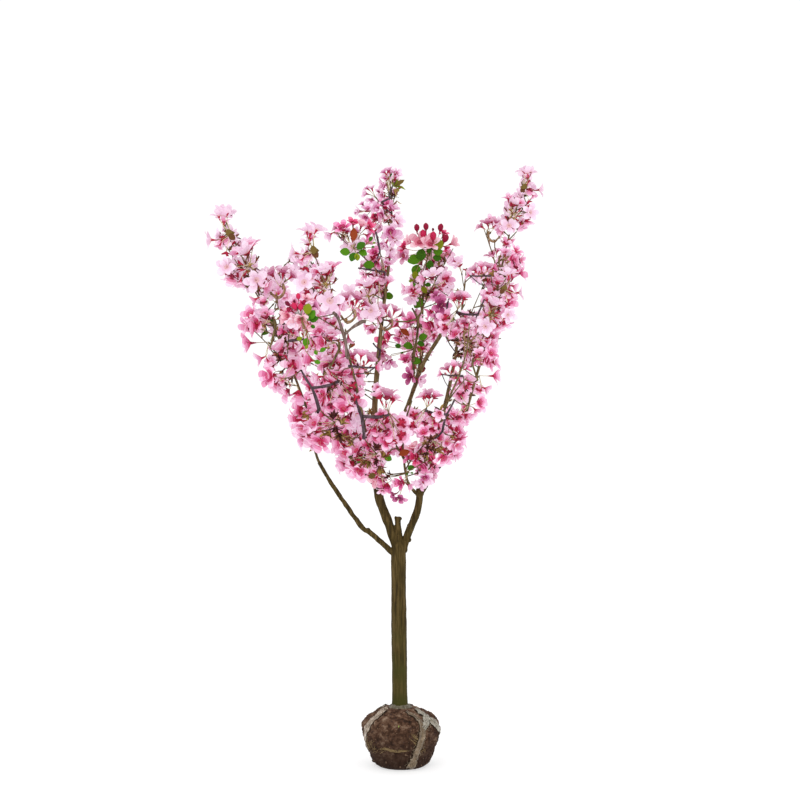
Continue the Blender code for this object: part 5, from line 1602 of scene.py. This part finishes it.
SPRAYS = {  # its own place, groups of flowers, buds, leaves, tufts and twigs
    "branch": ((240, 262), PLUME + ROSE_SPUR + FORK, [], BRANCH_LEAVES, BRANCH_TUFTS, BRANCH_TWIGS),
    "plume": ((240, 262), PLUME[1:], [], [], BRANCH_TUFTS[:2], BRANCH_TWIGS[:2]),
    "behind_fork": ((240, 262), BEHIND_FORK, [], [], [], []),
    "bud_sprig": ((430, 252), BUD_SPRIG, SPRIG_BUDS, SPRIG_LEAVES, [], []),
    "left_buds": ((304, 312), LEFT_BUDS, LEFT_BUDS_BUDS, LEFT_BUDS_LEAVES, [], []),
    "left_sprig": ((355, 249), LEFT_SPRIG, [], LEFT_SPRIG_LEAVES, [], []),
    "inner_sprig": ((410, 345), INNER_SPRIG, [(421, 368, 350, 13, "bud_maroon")], INNER_LEAVES, [], INNER_TWIGS),
    "bare_twig": ((345, 335), [], [], [], [], LEFT_TWIGS),
    "leader": ((385, 230), LEADER, LEADER_BUDS, LEADER_LEAVES, LEADER_TUFTS, LEADER_TWIGS),
    "pale_sprig": ((450, 275), PALE_SPRIG, [], [], [(421, 296, 90, 4, 14, BROWN)], []),
    "fringe": ((408, 470), FRINGE, [], FRINGE_LEAVES, FRINGE_TUFTS, FRINGE_TWIGS),
}
PLACED = [  # spray, pixel, depth at its top and foot, size, mirrored or not, turn in degrees, bloom
    ("branch", (240, 262), (-0.125, -0.200), 1.00, 1, 0, 1.12),
    ("behind_fork", (240, 262), (-0.120, -0.120), 1.00, 1, 0, 1.12),
    ("branch", (318, 280), (-0.300, -0.110), 0.985, 1, -12, 1.12),
    ("branch", (519.3, 210), (-0.015, -0.040), 0.775, -1, 8, 1.12),
    ("branch", (497.3, 311.5), (-0.050, -0.140), 0.79, -1, 3.6, 1.12),
    ("plume", (361.7, 292), (-0.040, -0.040), 0.85, 1, -15, 1.12),
    ("bud_sprig", (430, 252), (0.270, 0.270), 1.00, 1, 0, 1.15),
    ("left_buds", (304, 312), (-0.300, -0.300), 0.92, 1, 0, 1.15),
    ("left_sprig", (355, 249), (-0.030, -0.030), 1.00, 1, 0, 1.10),
    ("bare_twig", (345, 335), (-0.236, -0.236), 1.00, 1, 0, 1.00),
    ("inner_sprig", (410, 345), (0.090, 0.110), 1.00, 1, 0, 1.10),
    ("leader", (385, 230), (0.020, -0.005), 1.00, 1, 0, 1.18),
    ("pale_sprig", (450, 275), (0.200, 0.200), 1.00, 1, 0, 1.15),
    ("fringe", (408, 470), (-0.120, -0.050), 1.00, 1, 0, 1.05),
]
shown = []  # the places of the flowers set so, which the rule's flowers keep clear of


def set_plan(own, pixel, depths, size, mirror, turn):
    """Functions from a spray's pixels and degrees to places and ways in the tree's space."""
    c, s = math.cos(math.radians(turn)), math.sin(math.radians(turn))

    def place(px, py, lift=0.0):
        right, up = (px - own[0]) * mirror * size, (own[1] - py) * size
        x = (pixel[0] - 400 + right * c - up * s) * PIXEL
        z = CAMERA_HIGH + (400 - pixel[1] + right * s + up * c) * PIXEL
        share = min(1.0, max(0.0, (py - own[1] + 60) / 250))
        return at_depth(x, z, depths[0] + (depths[1] - depths[0]) * share - lift)

    def way(degrees, towards=0.0):
        angle = math.radians((degrees if mirror > 0 else 180 - degrees) + turn)
        level = math.radians(90 * towards)
        return Vector((math.cos(angle) * math.cos(level), -math.sin(level),
                       math.sin(angle) * math.cos(level)))
    return place, way


def nearest_mass(point):
    """The mass whose stem passes nearest to a point, and the place on that stem."""
    found = {mass: nearest_point(paths, point) for mass, paths in stems.items()}
    mass = min(found, key=lambda name: found[name][1])
    return mass, found[mass][0]


TWIG_LIFT = 0.024  # how far the bare twigs stand in front of their flowers


def add_placed(name, pixel, depths, size, mirror, turn, bloom, rng):
    """One of the photograph's sprays on its twigs."""
    own, groups, buds, leaves, tufts, twigs = SPRAYS[name]
    place, way = set_plan(own, pixel, depths, size, mirror, turn)
    heaps, tips = None, []
    lines = [resample(smooth_path([place(*spot, TWIG_LIFT) for spot in spots]), 0.005)
             for spots, *_ in twigs]
    for spot, flowers in groups:
        foot = place(*spot, rng.uniform(-0.006, 0.006))
        mass, root = nearest_mass(foot - Vector((0, 0, 0.03)))
        root = min([root] + [p for line in lines for p in line], key=lambda p: (p - foot).length)
        heaps = masses_heaps[mass]
        line = smooth_path([root, root.lerp(foot, 0.5) + Vector((0, 0.010, -0.004)), foot], 2)
        radii = [0.0016 - 0.0005 * k / (len(line) - 1) for k in range(len(line))]
        heaps["twigs"].add(*tube(line, radii, 6), "crabapple_twig_bark")
        tip = add_spur(heaps, foot, (line[-1] - line[-2]).normalized())
        tips.append(tip)
        for fx, fy, angle, towards, grown, closed, tint in flowers:
            facing = way(angle, towards)
            lift = 0.010 * towards + rng.uniform(-0.008, 0.008)
            grown *= bloom
            middle = place(fx, fy, lift + (0.012 if "tube" in tint or tint == "star" else 0))
            shown.append((middle, 0.020 * grown * size))
            add_flower(heaps, middle, facing, grown * size, tint, rng, closed)
            add_pedicel(heaps, tip, (middle - tip).normalized(), middle - facing * 0.007 * grown * size,
                        facing, rng.choice(("pedicel_cream", "pedicel_cream", "pedicel_olive")))
    for bx, by, angle, long, finish in buds:
        middle = place(bx, by, rng.uniform(0.014, 0.024))
        facing = way(angle, rng.uniform(-0.1, 0.2))
        shown.append((middle, 0.008))
        add_bud(heaps, middle, facing, long / 1000 * size, finish)
        add_pedicel(heaps, tip, (middle - tip).normalized(), middle - facing * 0.004, facing,
                    "pedicel_grey")
    for lx, ly, angle, long, finish in leaves:
        axis = way(angle, rng.uniform(-0.1, 0.2))
        foot = place(lx, ly, 0.016 + rng.uniform(-0.004, 0.004)) - axis * long / 2000 * size
        shown.append((foot + axis * long / 2000 * size, 0.010))
        tip = min(tips, key=lambda p: (p - foot).length)
        if (foot - tip).length < 0.14:
            add_pedicel(heaps, tip, (foot - tip).normalized(), foot, axis, "pedicel_olive")
        up = Vector((rng.uniform(-0.35, 0.35), -1, rng.uniform(0.0, 0.5)))
        narrow = finish == "leaf_bronze"
        add_leaf(heaps, narrow_leaf_shape if narrow else leaf_shape, foot, axis, up,
                 long / 1000 * size, finish)
    for tx, ty, angle, count, long, finishes in tufts:
        middle = place(tx, ty, 0.034)
        heaps = masses_heaps[nearest_mass(middle)[0]]
        add_tuft(heaps, middle, way(angle, 0.25), count, long / 1000 * size, rng, finishes)
    for order, ((spots, first, last, finish), line) in enumerate(zip(twigs, lines)):
        radii = [(first + (last - first) * i / (len(line) - 1)) / 1000 * size
                 * wobble(p, 0.40, order) for i, p in enumerate(line)]
        heaps = masses_heaps[nearest_mass(line[-1])[0]]
        heaps["twigs"].add(*tube(line, radii, 8), finish)
        if any(spots[0] in other[0] for other in twigs[:order]):
            continue  # a side twig, which stands on another one already
        _, root = nearest_mass(line[-1] - Vector((0, 0, 0.02)))
        stalk = smooth_path([line[-1], line[-1].lerp(root, 0.4) + Vector((0, 0, -0.008)), root], 1)
        heaps["twigs"].add(*tube(stalk, [radii[-1], radii[-1] * 0.85] + [radii[-1] * 0.7] * 8, 7),
                           finish)


print("sprays to set:", len(PLACED))


# %% [markdown]
# The rest of the crown grows by the rule: the flanks, the back and whatever the photograph leaves
# unclear. A flower is left out where the photograph shows sky, where it would hide or touch one
# of the sprays above, and where it would stand out of the tree's own box.

# %% Growing the crown
BOX_EDGE = 0.022  # half a flower, so that no petal leaves the box
RIM = [(math.cos(k * math.tau / 6), math.sin(k * math.tau / 6)) for k in range(6)]
RIM_SHARE = 0.80
DRAWS = 3  # how often a flower may look for a free place


def free(place, size):
    """Whether a flower may grow at a place."""
    low, high = cad_box
    if any(not low[k] + BOX_EDGE * size < place[k] < high[k] - BOX_EDGE * size for k in (0, 1, 2)):
        return False
    x, z = seen_from_front(place)
    px, py = plan_pixel(x, z)
    wide = PETAL_LONG * size * RIM_SHARE / PIXEL
    if not in_crown(px, py):
        return False
    if not all(in_crown(px + wide * c, py + wide * s) for c, s in RIM):
        return False
    for other, radius in shown:
        if (place - other).length < radius + 0.014:
            return False
        ox, oz = seen_from_front(other)
        if place.y < other.y + 0.02 and math.hypot(x - ox, z - oz) < radius + 0.008:
            return False
    return True


def add_spray(heaps, mass, spur, way, rng):
    """The flowers and leaves that spring from one spur. Returns how many flowers it has."""
    kind = kind_at(mass, spur, rng)
    count = rng.randint(4, 6) if kind == "lilac" else rng.randint(3, 5)
    size = {"lilac": 0.65, "purple": 0.75, "salmon": 0.90}.get(kind, 1.0)
    tip = spur + way * SPUR_LONG
    spin = rng.uniform(0, math.tau)
    side = side_of(way)
    away = Vector((spur.x, spur.y, 0)).normalized()
    grown_count = 0
    for k in range(count):
        grown = size * rng.uniform(0.78, 1.08)
        for _ in range(DRAWS):
            angle = spin + math.tau * k / count + rng.uniform(-0.6, 0.6)
            lean = rng.uniform(0.35, 1.35) if k else rng.uniform(0.0, 0.4)
            out = side * math.cos(angle) + way.cross(side) * math.sin(angle)
            aim = (way * math.cos(lean) + out * math.sin(lean)).normalized()
            place = tip + aim * rng.uniform(*PEDICEL) * (0.6 + 0.4 * size)
            if free(place, grown):
                break
        else:
            continue
        nod = Vector([rng.uniform(-0.8, 0.8) for _ in range(3)]) + Vector((0, 0, -0.10))
        facing = (aim - away * aim.dot(away) * SIDEWAYS + nod).normalized()
        grown_count += 1
        add_pedicel(heaps, tip, way, place - facing * 0.007 * grown, facing,
                    rng.choice(("pedicel_cream", "pedicel_olive")))
        closed = rng.uniform(0.60, 0.90) if rng.random() < 0.35 else rng.uniform(0.12, 0.50)
        add_flower(heaps, place, facing, grown, kind, rng, closed)
    if grown_count:
        add_spur(heaps, spur, way)
        if rng.random() < 0.55:
            add_tuft(heaps, tip, way, rng.randint(4, 8), rng.uniform(0.012, 0.024), rng,
                     rng.choice((YOUNG, BROWN, DARK)))
        if rng.random() < 0.10:
            axis = (side + way * 0.4).normalized()
            add_leaf(heaps, leaf_shape, tip, axis, way, rng.uniform(0.020, 0.030),
                     rng.choice(("leaf_bright_green", "leaf_dark_green", "leaf_bronze")))
    return grown_count


def grow(mass):
    """One mass: its stems, twigs, spurs and sprays, each kind in a heap of its own."""
    carrier, _, reach, seed = MASSES[mass]
    rng = random.Random(100 + seed)
    others = [path for other in MASSES if other != mass for path in stems[other]]
    heaps = masses_heaps[mass]
    flowers = 0
    for order, path in enumerate(stems[mass]):
        own_girth = BOUGHS[carrier][2] * 0.97
        girths = STEM_GIRTHS.get(mass, (own_girth, own_girth * 0.7, 0.0020))
        girths = (0.0021, 0.0015, 0.0010) if order else girths
        fine = resample(path, 0.009)
        radii = [blend(girths, i / (len(fine) - 1)) * wobble(p, 0.16, order)
                 for i, p in enumerate(fine)]
        heaps["twigs"].add(*tube(fine, radii, 9), "crabapple_twig_bark")
        stations = resample(path, TWIG_STEP)
        spin = rng.uniform(0, math.tau)
        for i in range(1, len(stations)):
            share = i / (len(stations) - 1)
            along = (stations[i] - stations[i - 1]).normalized()
            side = side_of(along)
            spin += GOLDEN_ANGLE
            wide = blend(SHOOT_REACH if order else reach, share)
            for _ in range(TRIES):
                turn = spin + rng.uniform(-TWIG_TURN, TWIG_TURN)
                lean = blend(TWIG_LEAN, share) + rng.uniform(-TWIG_SWAY, TWIG_SWAY)
                out = side * math.cos(turn) + along.cross(side) * math.sin(turn)
                way = (along * math.cos(lean) + out * math.sin(lean)).normalized()
                deep = max(0.006, (wide - SPRAY_DEEP) * rng.uniform(0.25, 1.0))
                tip = stations[i] + way * deep / max(0.5, math.sin(lean))
                _, own = nearest_point(stems[mass], tip)
                _, other = nearest_point(others, tip)
                if other < own:
                    continue
                break
            else:
                continue
            long = (tip - stations[i]).length
            bend = side_of(way) * rng.uniform(-0.12, 0.12) * long
            grown_count = 0
            for place in SPUR_SHARES:
                if place < 1 and long * place < 0.016:
                    continue
                spur = stations[i].lerp(tip, place) + (bend * 0.5 if place < 1 else bend * 0)
                aim = way if place == 1 else (way + side_of(way) * rng.choice((-1, 1))
                                              * rng.uniform(0.7, 1.3)).normalized()
                grown_count += add_spray(heaps, mass, spur, aim, rng)
            if grown_count:
                twig = smooth_path([stations[i], stations[i].lerp(tip, 0.5) + bend, tip], 1)
                heaps["twigs"].add(*tube(twig, [0.0019, 0.0017, 0.0016, 0.0015, 0.0014, 0.0013], 5),
                                   "crabapple_twig_bark")
            flowers += grown_count
    label = mass[8:]
    heaps["twigs"].piece("twigs_" + label, "bark", mass)
    heaps["petals"].piece("petals_" + label, "blossom")
    heaps["sprigs"].piece("calyces_and_stamens_" + label, "blossom")
    heaps["leaves"].piece("leaves_" + label, "blossom")
    return flowers


masses_heaps = {mass: {key: Heap() for key in ("twigs", "petals", "sprigs", "leaves")}
                for mass in MASSES}
for order, row in enumerate(PLACED):
    add_placed(*row, random.Random(900 + order))
print("flowers set:", len(shown))
print("flowers grown:", sum(grow(mass) for mass in MASSES))
